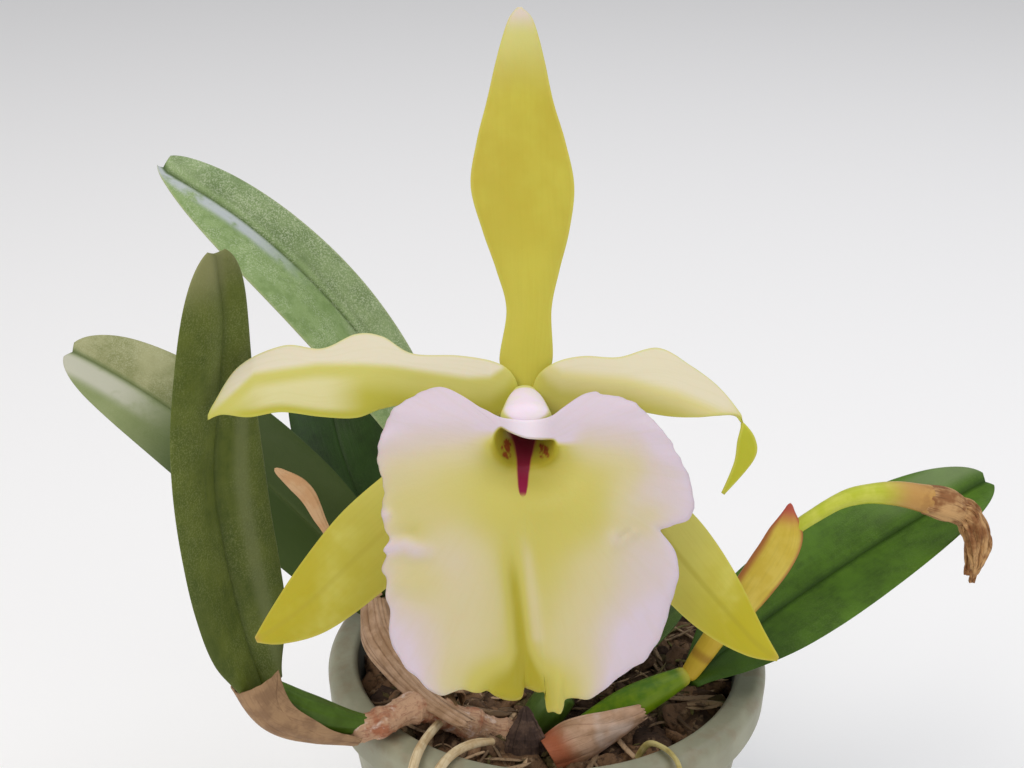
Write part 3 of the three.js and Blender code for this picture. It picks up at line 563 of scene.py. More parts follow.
LEAVES = {
    "leaf_tall": dict(
        base=[-25.4, 12.8, 118], length=118, width=28.4, heading=[195, 151], rise=[77, 30], roll=[21, 24],
        fold=22, blunt=8, pull=[3, 4.5, 5.4, 4.6, 2.2, -2.2],
    ),
    "leaf_front": dict(
        base=[-63.9, -44.5, 110.7], length=103, width=25.6, heading=[161, 153], rise=[74, 104], roll=[15, 15],
        fold=12, shape=[0.45, 0.87, 1, 1, 0.98, 0.91, 0.8, 0.7, 0.62], pull=[0, 0, 0, 0, 2.5, 3.5, 0],
    ),
    "leaf_left": dict(
        base=[-41.8, 2.3, 103.8], length=104, width=29, heading=[156, 158], rise=[46, 17], roll=[45, 35],
        fold=18, shape=[0.42, 0.8, 0.95, 1, 1, 0.96, 0.88, 0.76, 0.62],
    ),
    "leaf_short": dict(
        base=[-38, 21.7, 98.2], length=69, width=28.4, heading=[148, 89], rise=[51, 40], roll=[-11, -1],
        fold=17,
    ),
    "leaf_main": dict(
        base=[4, -22.3, 96.2], length=66, width=25, heading=[39, 73], rise=[12, 2], roll=[-15, 35], fold=18,
    ),
    "leaf_right": dict(
        base=[33.2, -23.4, 97.9], length=96, width=30.5, heading=[40, 16], rise=[14, 24], roll=[-16, -16],
        fold=18, shape=[0.2, 0.6, 0.87, 0.98, 1, 0.96, 0.88, 0.76, 0.62],
    ),
}  # fmt: skip
# Painted sheen of each leaf: the middle and the half width, in millimetres, of a pale band painted beside the
# groove, a painted reflection of the sky
PAINTED_SHEENS = {"leaf_tall": (-2.5, 2.2), "leaf_front": (6.2, 2.2), "leaf_left": (-4, 3.2), "leaf_right": (-7, 4)}
leaves = {}
for number, (name, form) in enumerate(LEAVES.items()):
    points, along, across, reach_mm = leaf_points(**form, seed=number)
    rim = np.sqrt(np.clip(1 - np.abs(across) ** 6, 0, 1)) * np.sqrt(np.clip(1 - along**60, 0, 1))
    thickness = (1.5 - 0.5 * np.abs(across)) * (0.12 + 0.88 * rim)
    thickness = thickness + GROOVE * bell(reach_mm, 0, 1.2) * (1 - along**6)
    leaves[name] = sheet(
        name + "_blade", points, thickness, along=along, across=np.abs(across),
        middle=np.abs(reach_mm), right=step(reach_mm, -2, 7), sheen=bell(reach_mm, *PAINTED_SHEENS.get(name, (4, 2))),
    )  # fmt: skip
    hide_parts(name)
print("leaf corners:", len(leaves["leaf_tall"].data.vertices))

# %% [markdown]
# ## The bloom
# Three sepals and two petals stand in one plane behind the lip, and each lies between two edges that
# run from its base to its tip. They are drawn in millimetres on the plane of the flower, which looks
# up by 24 degrees, and then carried to the place of the bloom. Every point also keeps what its colour
# depends on, such as its height above the crease of the petal, so the colours follow the form.

# %% Sepals and petals
FLOWER = np.array([-6, -50.9, 186.3])
TILT = math.radians(24)
FLOWER_AXES = np.array(
    [[1, 0, 0], [0, math.sin(TILT), math.cos(TILT)], [0, -math.cos(TILT), math.sin(TILT)]]
)


def on_flower(local):
    """Plane of the flower to the room: x to the right, y up the bloom, z towards the viewer."""
    return FLOWER + local @ FLOWER_AXES


def arch(u):
    """Half a sine wave: 0 at both ends of a piece and 1 in its middle."""
    return np.sin(np.pi * np.clip(u, 0, 1))


def tepal(name, first, second, depth, seed, above=None, rows=150, cols=45, thick=0.9):
    """Fleshy blade: point = first + (second - first) (v + 1) / 2, raised by depth(u, v, above), where
    above is the height over the crease, and by slow waves. It thins towards its rim."""
    u = np.linspace(0, 1, rows)
    v = np.sin(np.linspace(-1, 1, cols) * np.pi / 2)
    one, two = smooth(first, u), smooth(second, u)
    flat = one[:, None] + (two - one)[:, None] * ((v + 1) / 2)[None, :, None]
    width = np.linalg.norm(two - one, axis=-1)[:, None]
    u, v = np.meshgrid(u, v, indexing="ij")
    over = flat[..., 1] - np.interp(flat[..., 0], *np.transpose(above)) if above else 0 * u
    waves = random_waves(seed, (4, 15), (4, 15))
    z = depth(u, v, over)
    z = z + 0.2 * waves(1.6 * u, 0.35 * v) * arch(u) + 0.25 * waves(3 * u, 0.2 * v) * np.abs(v) ** 3
    points = on_flower(np.concatenate([flat, z[..., None]], -1))
    rim = np.sqrt(np.clip(1 - np.abs(v) ** 5, 0, 1)) * np.sqrt(np.clip(1 - u**40, 0, 1))
    thickness = thick * (0.16 + 0.84 * rim) * (1 - 0.25 * u)
    inset, middle = (1 - np.abs(v)) * width / 2, np.abs(v) * width / 2
    made = sheet(name + "_blade", points, thickness, along=u, inset=inset, middle=middle, above=over)
    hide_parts(name)
    return made


def petal_depth(u, v, above):
    """The petal bows forward, and what lies above its crease folds back."""
    return -4.4 + 2.5 * arch(u) - 0.62 * arch(u) ** 0.7 * ramp(above, 0.7)


def sepal_depth(u, v, above):
    """Lateral sepals lean back towards their tips and are hollow across."""
    return -5.6 - 3 * u + 1.6 * (1 - v * v) * arch(u)


def dorsal_depth(u, v, above):
    """The upper sepal leans back in its middle, with its edges turned a little further."""
    return -5.6 - (1.2 + 1.4 * v * v) * arch(u)


DORSAL = (
    [[2.2, -1.6], [3.4, 1.4], [5.4, 5.6], [5.2, 15.6], [6.8, 23.5], [8.8, 31.5], [9.8, 40.5], [8, 49.5],
     [5.6, 57.4], [3.9, 65.2], [2.5, 70.6], [1.2, 74], [-0.8, 75.8]],
    [[-2.2, -1.6], [-3.4, 1.4], [-5.2, 5.6], [-3.8, 15.6], [-5.8, 23.5], [-8.6, 31.5], [-11, 40.5],
     [-9.8, 49.5], [-7.8, 57.4], [-6, 65.2], [-4.5, 70.6], [-3.2, 74], [-1.6, 75.8]],
)  # fmt: skip
PETAL_LEFT = (
    [[-1.2, -1.8], [-2.4, 2.4], [-6, 5.1], [-13.3, 6.4], [-22.5, 6.8], [-28.5, 10.2], [-33.8, 10.7],
     [-40.3, 7.8], [-48.1, 8.4], [-56.9, 4.3], [-61.7, -2.9], [-63, -5.6]],
    [[-1.2, -3.4], [-3.2, -5.2], [-7, -5.5], [-13.3, -4.2], [-22.5, -3.3], [-28.1, -4.1], [-33.4, -5.9],
     [-40.3, -5.7], [-48.1, -4.8], [-54.7, -5.8], [-60, -5.3], [-63, -6.4]],
)  # fmt: skip
PETAL_RIGHT = (
    [[1.2, -3.4], [3.2, -5.2], [7, -5.4], [12.5, -4], [20, -4.3], [28, -5.6], [33.5, -5.8], [37.5, -5.5],
     [40.7, -5.4], [42.3, -6.1], [45.3, -9.9], [45.2, -14.2], [39.4, -21.2]],
    [[1.2, -1.8], [2.3, 2.3], [6, 5.1], [11.5, 6.3], [18.5, 6.1], [26.5, 8], [32.9, 4.5], [38.1, 0.5],
     [41.9, -4.2], [42.7, -6.4], [41.8, -10.4], [41.2, -14.8], [38.8, -20.8]],
)  # fmt: skip
SEPAL_LEFT = (
    [[-4.2, -0.6], [-11.2, -4.4], [-19.1, -10.4], [-28.1, -17.3], [-37.1, -25.3], [-45.1, -35.3],
     [-51, -44.3], [-54.4, -50.2]],
    [[-0.6, -3.4], [-5.2, -10.4], [-11.2, -20.3], [-19.1, -31.3], [-28.1, -40.3], [-39.5, -48.6],
     [-48.5, -51.4], [-54, -51.2]],
)  # fmt: skip
SEPAL_RIGHT = (
    [[0.6, -3.4], [6.8, -10.4], [13.8, -21.3], [21.7, -34.3], [29.1, -43.3], [36.5, -49.6], [44.5, -53.8],
     [50.6, -55]],
    [[4.2, -0.6], [12.8, -6.4], [22.7, -14.4], [32.7, -24.3], [37.7, -30.3], [42.7, -38.3], [47.7, -48.3],
     [51, -54.2]],
)  # fmt: skip
LEFT_CREASE = [
    [-63, -6], [-53.5, 2.7], [-41.2, 4.5], [-32.4, 4.5], [-26.4, 4.1], [-17.6, 2.7], [-11.5, 1.8], [-7, 2],
    [-4.4, 3.8], [-2.6, 6],
]  # fmt: skip
RIGHT_CREASE = [[2.6, 6], [4.4, 3.8], [7, 2], [12, 1.4], [20, 0.6], [30, -2.2], [37, -5.2], [45, -9]]
# Each tepal: its two edges, its depth, its seed, then its crease and its rows if they are its own
TEPALS = {
    "dorsal_sepal": (*DORSAL, dorsal_depth, 21),
    "petal_left": (*PETAL_LEFT, petal_depth, 22, LEFT_CREASE),
    "petal_right": (*PETAL_RIGHT, petal_depth, 23, RIGHT_CREASE, 180),
    "sepal_left": (*SEPAL_LEFT, sepal_depth, 24),
    "sepal_right": (*SEPAL_RIGHT, sepal_depth, 25),
}
bloom = {name: tepal(name, *form) for name, form in TEPALS.items()}
print("corners of a petal:", len(bloom["petal_left"].data.vertices))

# %% [markdown]
# ## The lip
# The lip is the third petal, a trumpet whose narrow tube hides under the column and whose mouth
# flares into the big ruffled blade. The margin is a closed outline drawn round the throat,
# and every ray from the throat to the margin is one column of the grid. The height of the blade adds
# up from a few simple forms: two swollen halves, a groove between them, lobes that bend back, folds
# that run in from the notches, and a ruffle that grows towards the margin.

# %% Lip outline and folds
LIP_MARGIN = [
    [31.9, -24], [31.2, -17], [29.2, -13.4], [27, -9.4], [23.6, -5.6], [20.2, -2.6], [14.9, -1.2],
    [11.6, -1], [7.7, -3.4], [5, -5.2], [2.6, -5.9], [0, -6.1], [-2.7, -5.9], [-5.2, -5.4], [-9.2, -3.7],
    [-12.8, -1.3], [-17, 0.2], [-21.5, -1.6], [-25.6, -4.4], [-27.8, -9.8], [-28.4, -13.4], [-27.3, -18],
    [-27.1, -21.8], [-27.7, -23.6], [-27.4, -25], [-26.5, -27.2], [-26, -29.1], [-27.1, -30.7],
    [-26.7, -32.1], [-27.5, -34.3], [-26.7, -36.2], [-26.7, -39.6], [-25.9, -43], [-26.3, -47.4], [-24, -52],
    [-20.8, -55.4], [-18.4, -57.5], [-16.2, -58.4], [-14.2, -57.9], [-12.1, -57.5], [-8.8, -57.9],
    [-7.4, -57.6], [-5.6, -58.8], [-4, -59.8], [-2.1, -60], [-0.8, -59.6], [-0.4, -57.9], [0.4, -58.1],
    [2.1, -58.3], [3.6, -58.4], [4, -61.1], [4.2, -62.2], [5.4, -61.9], [6.5, -62.1], [7.1, -60.7],
    [7.4, -59.3], [9.7, -59.3], [11.9, -59], [15.1, -57.2], [18, -54.6], [23.1, -51.5], [26.4, -46],
    [28, -40], [29.2, -35.4], [28, -30.6], [25.6, -27.3], [28, -26.2],
]  # fmt: skip
THROAT = np.array([0, -11.5])
MOUTH = [
    [5.9, 0.3], [5.3, 1.9], [2.6, 2.1], [0.3, 2.3], [-1.4, 2.8], [-3.1, 3.5], [-4.9, 4.3], [-6.2, 2.8],
    [-6.3, 0.3], [-5.3, -1.8], [-3, -3.4], [0, -3.8], [3, -3.3], [5.2, -1.8],
]  # fmt: skip
TUBE = {"end": [0, -6, -3], "radius": 2.2, "share": 0.2}
LEFT_RIDGE = [[-16.4, -29.4], [-18.6, -30.6], [-20.8, -30.6], [-23, -29.8], [-26.8, -30.4]]
# Each fold: its line, its half width, its height, and the share of the line over which it grows
FOLDS = [
    ([[-4, -25], [-2.7, -35], [-1.6, -43], [-0.6, -50], [0.6, -58]], 2.2, -0.75, 0.5),
    ([[-1.6, -22], [-0.8, -34], [1.6, -44], [3.4, -50]], 2, 0.4, 0.5),
    (LEFT_RIDGE, 1.4, 0.6, 0.5),
    ([[-16, -33], [-19.5, -33.6], [-24, -33.2]], 1.3, -0.3, 0.4),
    ([[-19.5, -27.4], [-25, -27.6]], 1.5, -0.4, 0.4),
    ([[-25.4, -24.4], [-27.6, -24]], 1, 0.5, 0.3),
    ([[17.2, -29.8], [20.6, -27.4]], 0.6, 0.3, 0.3),
    ([[17, -28.7], [19.4, -27]], 0.5, -0.3, 0.3),
    ([[16.4, -26.8], [16.6, -29.6]], 0.8, 0.3, 0.3),
    ([[-17, -37.6], [-24, -37]], 0.9, 0.2, 0.4),
    ([[-16, -41], [-24.5, -40]], 0.9, -0.2, 0.4),
    ([[6.4, -52], [6.1, -57], [5.8, -62]], 0.9, 0.9, 0.6),
    ([[4.4, -53], [4, -58.5]], 0.8, -0.5, 0.6),
    ([[-6.2, -58.2], [-1.2, -59.2]], 0.9, 0.7, 0),
]


def along_line(x, y, line, wide, fade):
    """Bell across a given line: 1 on the line, 0 far from it. It grows from nothing over the
    share of the line given by fade."""
    line = np.asarray(line, float)
    lengths = np.linalg.norm(np.diff(line, axis=0), axis=1)
    before = np.concatenate([[0], np.cumsum(lengths)])
    best = np.zeros_like(x)
    for k, ((ax, ay), (bx, by)) in enumerate(zip(line, line[1:])):
        dx, dy = bx - ax, by - ay
        s = np.clip(((x - ax) * dx + (y - ay) * dy) / (dx * dx + dy * dy), 0, 1)
        share = (before[k] + s * lengths[k]) / before[-1]
        near = bell(np.hypot(x - ax - s * dx, y - ay - s * dy), 0, wide)
        best = np.maximum(best, near * (step(share, 0, fade) if fade else 1))
    return best


# %% [markdown]
# ## The colours of the lip
# One number, the tone, says how yellow the lip is at a point: 0 is lilac white, 0.5 cream and 1 the
# olive of the throat. It is a level for the whole blade, raised by a soft band down the middle, by
# the groove and by the foot, and lowered along the margin and on the lobes. It carries painted light
# too. The olive round the mouth is partly the throat's own colour and partly painted shade of its
# recess. The groove is partly painted shade, and the ridge beside it partly a painted highlight. The
# hollow and the folded margin on the left are painted shade. The fold ridge and the bump on the left
# and the crease on the right get painted highlights. The crimson tongue lies inside the mouth, where
# the far wall of the tube shows under the column.

# %% Tone, tongue and speckles
GROOVE_LINE = [[-3.9, -26], [-3, -33], [-2, -40], [-1.1, -47], [-0.3, -53], [0.8, -59]]
RIDGE_LINE = [[-1.2, -24], [0.2, -32], [1.2, -40], [2, -47]]
# Each spot: how much yellow it adds, its middle, its half width, and how many times longer it lies.
# The spots at (-25, -22) and (-21.5, -27) are painted shade on the folded left margin and in the
# hollow above the left fold. Those at (-27, -24.2) and (16.4, -28.2) are painted highlights on the
# bump by the left notch and on the right crease.
TONE_AND_LIGHT_SPOTS = [
    (0.2, -25, -22, 7, 1), (0.1, -21.5, -27, 2.4, 1.6), (0.12, -20, -36, 5, 1), (-0.3, -27, -24.2, 1.4, 1),
    (-0.1, -14, -30, 6, 1), (-0.12, 16.4, -28.2, 1.6, 1),
]  # fmt: skip
SPECKLES = [
    [-4.1, -10.4], [-3.7, -11.2], [-4.6, -11.5], [-3.9, -12.1], [-4.3, -12.8], [-3.7, -13.2], [3.4, -11.4],
    [4.1, -11.8], [3.6, -12.4], [4.2, -12.9], [3.3, -13.1],
]  # fmt: skip


def lip_tone(x, y, inset, past):
    """Level 0.42 plus bells for the middle, groove, foot, throat and left side, less the lilac, with
    painted shade in the hollow, folds and mouth and painted highlights on the ridges. past is the way
    from the mouth's edge, below 0 inside it. The band over the mouth keeps no yellow at all."""
    wide = np.interp(y, [-60, -54, -46, -38, -30, -20, -10], [15, 11, 7.5, 8.5, 10.5, 12, 9])
    middle = bell(x - np.interp(y, [-60, -50, -38, -20], [-3, -1, 1.8, 1.2]), 0, wide)
    tone = 0.42 + np.interp(y, [-60, -50, -40, -24, -12, -8], [0.34, 0.22, 0.22, 0.36, 0.3, 0]) * middle
    # the groove line adds olive, partly the lip's own colour and partly painted shade in the groove; the
    # ridge line takes some away, partly a painted highlight on the ridge
    tone = tone + 0.34 * along_line(x, y, GROOVE_LINE, 2, 0.4) - 0.16 * along_line(x, y, RIDGE_LINE, 1.4, 0.4)
    for yellow, spot_x, spot_y, half, long in TONE_AND_LIGHT_SPOTS:
        tone = tone + yellow * bell(np.hypot((x - spot_x) / long, y - spot_y), 0, half)
    tone = tone + 0.3 * step(y, -49, -57) * bell(x, -1.5, 9.5)
    tone = tone + 0.14 * step(y, -34, -24) * step(y, -4, -18) * step(np.abs(x), 24, 14) * (1 - bell(x, 0, 8))
    # painted highlight: the fold ridge on the left is painted lilac white along its crest
    tone = tone - 0.3 * along_line(x, y, LEFT_RIDGE, 1.5, 0.5)
    upper = step(y, -17, -3.5)
    right = step(x, 12, 25) * step(y, -14, -22) * (1 - bell(np.hypot(x - 23, y + 25), 0, 4))
    right = right + step(x, 20, 27) * step(y, -24, -12)
    lower = step(y, -36, -50) * step(np.abs(x + 2), 11, 22)
    tone = tone - 0.38 * upper - 0.24 * np.clip(right, 0, 1) - 0.34 * lower
    tone = tone - 0.2 * np.exp(-inset / 2.5) * step(np.abs(x), 9, 14)
    # the olive halo round and inside the mouth is partly the throat's own olive and partly painted shade of
    # the recess under the band
    halo = np.exp(-np.clip(past, 0, None) / 1.8) * np.where(past > 0, step(y, -7.6, -11), 1)
    halo = np.maximum(halo, 0.5 * bell(np.hypot(x - 0.3, (y + 14.5) / 1.2), 0, 5.2))
    tone = tone + (0.98 - tone) * halo
    lower = np.interp(x, [-6.4, -4.9, -3.1, -1.4, 0.3, 5.9], [-7.4, -7.6, -8.3, -9, -9.5, -9.9])
    band = step(y, lower - 1.2, lower + 0.2) * step(np.abs(x), 12, 7) * (past > 0)
    return np.clip(tone * (1 - band), 0, 1)


def lip_tongue(x, y, lower):
    """1 in the middle of the tongue and 0 at its edge; it is only on the lower side of the mouth."""
    middle = np.interp(y, [-20.4, -16.4, -13, -11, -9], [-0.66, -0.58, -0.38, -0.3, -0.5])
    levels = [-21.2, -20.8, -20.2, -19, -16.4, -14, -11.5, -9, -4]
    half = np.interp(y, levels, [0.01, 0.4, 0.66, 0.9, 1.12, 1.4, 2.05, 2.9, 3.6])
    return np.where(lower, 1 - np.abs(x - middle) / half, -1)


# %% Lip blade


def closed_curve(points, v):
    """Smooth closed curve through points at shares v of their number: the list is lengthened by its
    last points before it and its first points after it, so the ends meet with one slope."""
    closed = points[-2:] + points + points[:3]
    return smooth(closed, (v * len(points) + 2) / (len(closed) - 1))


def softened(values, reach):
    """Mean over neighbours on a ring, up to reach steps away, weighted by a raised cosine."""
    window = np.hanning(2 * reach + 1)
    return np.convolve(np.pad(values, reach, "wrap"), window / window.sum(), "valid")


def lip_points(rows=96, fine=6):
    """Trumpet: for the first share of its length a cone from the tube to the mouth, then rays from the
    mouth to the margin, with longer steps outside than inside below the throat. Notches of the margin
    fade inwards with the eighth power, and no ray turns back. The ruffle dies away over the throat,
    where the margin lies calm against the column."""
    v = np.arange(len(LIP_MARGIN) * fine) / (len(LIP_MARGIN) * fine)
    offset = closed_curve(LIP_MARGIN, v) - THROAT
    turn = np.maximum.accumulate(np.unwrap(np.arctan2(offset[:, 1], offset[:, 0]))) - 2 * np.pi * v
    angle = (softened(turn, 4) + 2 * np.pi * v)[None]
    print("narrowest ray of the lip:", np.diff(angle[0]).min())
    frill = random_waves(31, (0, 0), (24, 70), whole=True)(0, angle)
    edge = np.hypot(offset[:, 0], offset[:, 1])[None]
    calm = step(edge, 7, 15)
    edge = edge + 0.4 * frill * calm
    soft = softened(edge[0], 4 * fine)[None] * calm + edge * (1 - calm)
    hole_x, hole_y = closed_curve(MOUTH, np.linspace(0, 1, 200)).T
    mouth = np.interp(angle, np.arctan2(hole_y, hole_x), np.hypot(hole_x, hole_y), period=2 * np.pi)
    below = step(-np.sin(angle), -0.2, 1)
    u = np.linspace(0, 1, rows)[:, None]
    t = np.clip((u - TUBE["share"]) / (1 - TUBE["share"]), 0, 1)
    spread = mouth + (soft - mouth) * t ** (1 + 0.25 * below) + (edge - soft) * t**8
    x, y = spread * np.cos(angle), spread * np.sin(angle)
    inset = edge - spread
    lobes = 4 * step(y, 3, 15) ** 1.5
    halves = 1.8 * bell(np.abs(x), 14, 9) * step(-y, -4, 14)
    valley = 0.9 * bell(x, 0, 4) * step(-y, 8, 22)
    backward = 0.003 * np.clip(-y - 15, 0, None) ** 2 + 0.003 * x * x
    dip = 5 * below * bell(spread, mouth, 5)
    ripple = random_waves(32, (0, 0), (9, 32), whole=True)(0, angle) * np.exp(-inset / 2.2) * 0.9
    ripple = (ripple + 0.55 * np.sin(9 * angle) * below * t**4) * calm
    curl = 0.5 * np.exp(-inset / 0.7) * calm
    x, y = THROAT[0] + x, THROAT[1] + y
    height = 9.4 + halves - valley - lobes - backward - dip + ripple - curl
    height = height + sum(high * along_line(x, y, line, wide, fade) for line, wide, high, fade in FOLDS)
    ring = TUBE["radius"] * np.stack([np.cos(angle[0]), np.sin(angle[0]), 0 * angle[0]], -1)
    share = np.clip(u / TUBE["share"], 0, 1)[..., None]
    points = (np.asarray(TUBE["end"]) + ring) * (1 - share) + np.stack([x, y, height], -1) * share
    past = spread - mouth * (2 - share[..., 0])
    place = np.stack([past, 14 * np.cos(angle) + 0 * u, 14 * np.sin(angle) + 0 * u], -1)
    return points, place, inset, t + 0 * x, np.sin(angle) < 0 * u


points, place, inset, t, lower = lip_points()
x, y = points[..., 0], points[..., 1]
dots = np.max([bell(np.hypot(x - at[0], y - at[1]), 0, 0.7) for at in SPECKLES], axis=0)
thickness = 0.8 * (0.25 + 0.75 * np.sqrt(np.clip(1 - t**14, 0, 1)))
bloom["lip"] = sheet(
    "lip_blade", on_flower(points), thickness, wrap=True, place=place,
    tone=lip_tone(x, y, inset, place[..., 0]), tongue=lip_tongue(x, y, lower), speckles=dots, low=y,
    aside=np.abs(x),
)  # fmt: skip
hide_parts("lip")
print("lip corners:", len(bloom["lip"].data.vertices))

# %% [markdown]
# ## Stems
# A creeping rhizome, ringed with old scale scars, climbs over the bark. Short swollen canes rise from
# it, one for each leaf, flattened sheaths lead up to the flower stalks, and a few corky roots cross
# the rim. The column of the flower is made in the same way: stamens and pistil grown into one waxy
# arch. All of them are rings round a path, with a relief worked out from place and angle.

# %% Relief of stems
stems = {}


def ribbed(seed, ribs, high, rings=0, ring_high=0.0):
    """Relief of a stem: shallow ribs that follow it, and rings that swell it at even steps."""
    waves = random_waves(seed, (2, 9), (1, 6), whole=True)

    def relief(t, angle):
        lines = high * np.sin(ribs * angle + 2 * waves(t)) + 0.5 * high * waves(3 * t, angle)
        return lines + ring_high * np.cos(np.pi * rings * t) ** 8

    return relief


ROUGH = random_waves(51, (12, 60), (1, 7), whole=True)
LUMPY = random_waves(52, (8, 30), (1, 4), whole=True)


def scarred(t, angle):
    """Seven swollen joints and 17 scale scars, each a step up and a slow fall, and lumps."""
    scar = (t * 17) % 1
    joints = 0.3 * np.exp(-scar / 0.2) + 0.7 * np.cos(np.pi * 7 * t) ** 6
    return joints + 0.6 * LUMPY(t, angle) + 0.14 * ROUGH(t, angle)


def grow(name, relief, rows=120, sides=48, **form):
    """Stem that replaces a node. Its fields are the share of its length, and how near a point is to
    one of its two flat sides' edges."""
    rings = stem_rings(rows=rows, sides=sides, relief=relief, **form)
    t = np.linspace(0, 1, rows)[:, None]
    angle = np.linspace(0, 2 * np.pi, sides, endpoint=False)[None]
    made = skin(name + "_skin", rings, along=t + 0 * angle, edge=np.abs(np.cos(angle)) + 0 * t)
    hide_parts(name)
    return made


# %% Column, canes, rhizome and roots
TO_VIEWER = (0, -1, 0)
bloom["column"] = grow(
    "column", None, rows=70, sides=72, flat=0.62, facing=FLOWER_AXES[1], ends=(0, 3.6),
    route=on_flower(np.array([[-0.2, -0.8, -3.4], [-0.1, -2.9, 2], [0, -7, 8.9]])),
    radii=[2.3, 3.5, 4.6, 5.5],
)  # fmt: skip
CANES = {
    "cane_front": dict(
        route=[[-41, -38.4, 96.6], [-52, -42.4, 101.6], [-63.4, -44.4, 110]], radii=[2, 4.3, 3.6]
    ),
    "cane_left": dict(route=[[-24, -29, 92], [-32, -13, 98.5], [-41.3, 1.7, 103.4]], radii=[3.4, 5, 3.8]),
    "cane_tall": dict(
        route=[[-20, 0, 78], [-23, 6, 100], [-26, 12.7, 117.3]], radii=[3.2, 6, 3.8], facing=TO_VIEWER
    ),
    "cane_short": dict(route=[[-29, 13, 78], [-33.5, 17.5, 90], [-37.8, 21.5, 97.5]], radii=[3.4, 5, 3.6]),
    "cane_main": dict(route=[[-5, -26.5, 83], [-1, -25, 90], [3.5, -22.7, 95.4]], radii=[3.2, 4.8, 4.4]),
    "cane_right": dict(
        route=[[5, -33.5, 88.5], [19, -28.7, 95.2], [33.4, -22.8, 99.8]], radii=[3.4, 3.9, 4.1, 3.3, 2.1]
    ),
}
for number, (name, form) in enumerate(CANES.items()):
    high, ends = (0.03, (1, 2.2)) if name == "cane_right" else (0.09, (1, 1.5))
    stems[name] = grow(name, ribbed(40 + number, 11, high), rows=90, ends=ends, **form)
RHIZOME = [
    [-46, -41, 96.6], [-38, -36.5, 96], [-31, -31.5, 96.4], [-22, -28, 90.5], [-9, -27, 84], [5, -31, 83],
]  # fmt: skip
stems["rhizome"] = grow(
    "rhizome", scarred, rows=260, sides=60, ends=(2, 2), route=RHIZOME, radii=[2.9, 3.2, 3.2, 3.4, 3.8, 3.3]
)
ROOTS = {
    "root_left": [[-25, -31, 92.4], [-27, -36.6, 93.6], [-28.6, -41, 94], [-30, -45.6, 93.7],
                  [-31, -48.2, 91], [-31.6, -49.4, 84], [-32, -49, 76]],
    "root_front": [[-13, -36.6, 90.6], [-17.4, -40.6, 93], [-21.4, -44.6, 93.8], [-24.4, -49.2, 93.5],
                   [-26.2, -51.4, 90.6], [-27, -51.8, 80]],
    "root_right": [[19, -38, 84], [22.6, -39.6, 92.2], [25.6, -42.4, 93.2], [28, -46.6, 93.2], [29, -49, 91],
                   [29.6, -50, 84], [30, -49.6, 76]],
}  # fmt: skip
for number, (name, route) in enumerate(ROOTS.items()):
    radii = [0.7, 0.7, 0.65, 0.6, 0.4] if name == "root_right" else [0.9, 1, 1.05, 0.95, 0.5]
    stems[name] = grow(
        name, ribbed(60 + number, 2, 0.1), rows=140, sides=28, route=route, radii=radii, facing=(1, 0, 0),
        ends=(0.5, 1.2),
    )  # fmt: skip

# %% Sheaths and stalks
SHEATHS = {
    "spathe_main": dict(
        route=[[2.4, -23.8, 96], [2.6, -20, 104], [1.5, -16.5, 116], [-0.5, -15, 130]],
        radii=[2.2, 4.2, 4.4, 3.4, 1], flat=0.42, facing=TO_VIEWER, ends=(1, 3), relief=ribbed(71, 12, 0.06),
    ),
    "spathe_right": dict(
        route=[
            [32.6, -23.1, 98.6], [38.6, -20.6, 107.6], [48, -17, 120], [54.6, -14, 130.5], [56, -12, 139.6],
        ],
        radii=[2.1, 2.6, 3, 4.1, 4.8, 5, 4.1, 0.5], flat=[0.9, 0.8, 0.45, 0.38, 0.38, 0.38],
        facing=TO_VIEWER, ends=(0.6, 1), relief=ribbed(72, 14, 0.03),
    ),
    "stalk_main": dict(
        route=[[-0.3, -15.2, 127], [-2, -17, 146], [-4.6, -26, 165], [-6, -37.5, 179.8], [-6, -44.9, 183.6]],
        radii=[1.7, 2, 2.2, 2.6, 3.4], facing=(1, 0, 0), ends=(0.5, 0.8), relief=ribbed(73, 6, 0.05),
    ),
    "stalk_right": dict(
        route=[
            [54.4, -12.6, 130.4], [61, -12, 135.6], [70.6, -7.9, 138.8], [82, -4.4, 138], [91.6, -2.9, 135.4],
        ],
        radii=[1.5, 1.7, 2, 2.9, 3.4], facing=TO_VIEWER, ends=(0.5, 1.2), relief=ribbed(74, 6, 0.04, 2, 0.15),
    ),
    "bract_dry": dict(
        route=[
            [-42.5, -1.4, 106.5], [-50.5, 0, 118.4], [-55, 0, 127.8], [-58.6, 1, 135.4], [-65.9, 2.4, 141.2],
        ],
        radii=[2.4, 1.5, 1, 0.95, 1.7, 2.2, 0.8], flat=0.3, facing=TO_VIEWER, ends=(0.5, 2),
        relief=ribbed(75, 9, 0.12),
    ),
    "bark_chip": dict(
        route=[[-5.4, -35, 81], [-5.6, -35, 91], [-5.6, -34.6, 99]], radii=[4.2, 4.4, 0.8], flat=0.45,
        facing=TO_VIEWER, ends=(0.5, 1.5), relief=ribbed(76, 7, 0.3, 9, 0.15),
    ),
}  # fmt: skip
for name, form in SHEATHS.items():
    stems[name] = grow(name, **form)
print("stems:", len(stems))

# %% [markdown]
# ## Husks
# Old sheaths dry to paper that stays wrapped round the canes. A husk is part of a tube, open on one
# side, with folds along its fibres and torn ends, so the shares of its length are stretched or
# shortened at every angle by a ragged wave. A loose rag of the same paper lies over the bark.

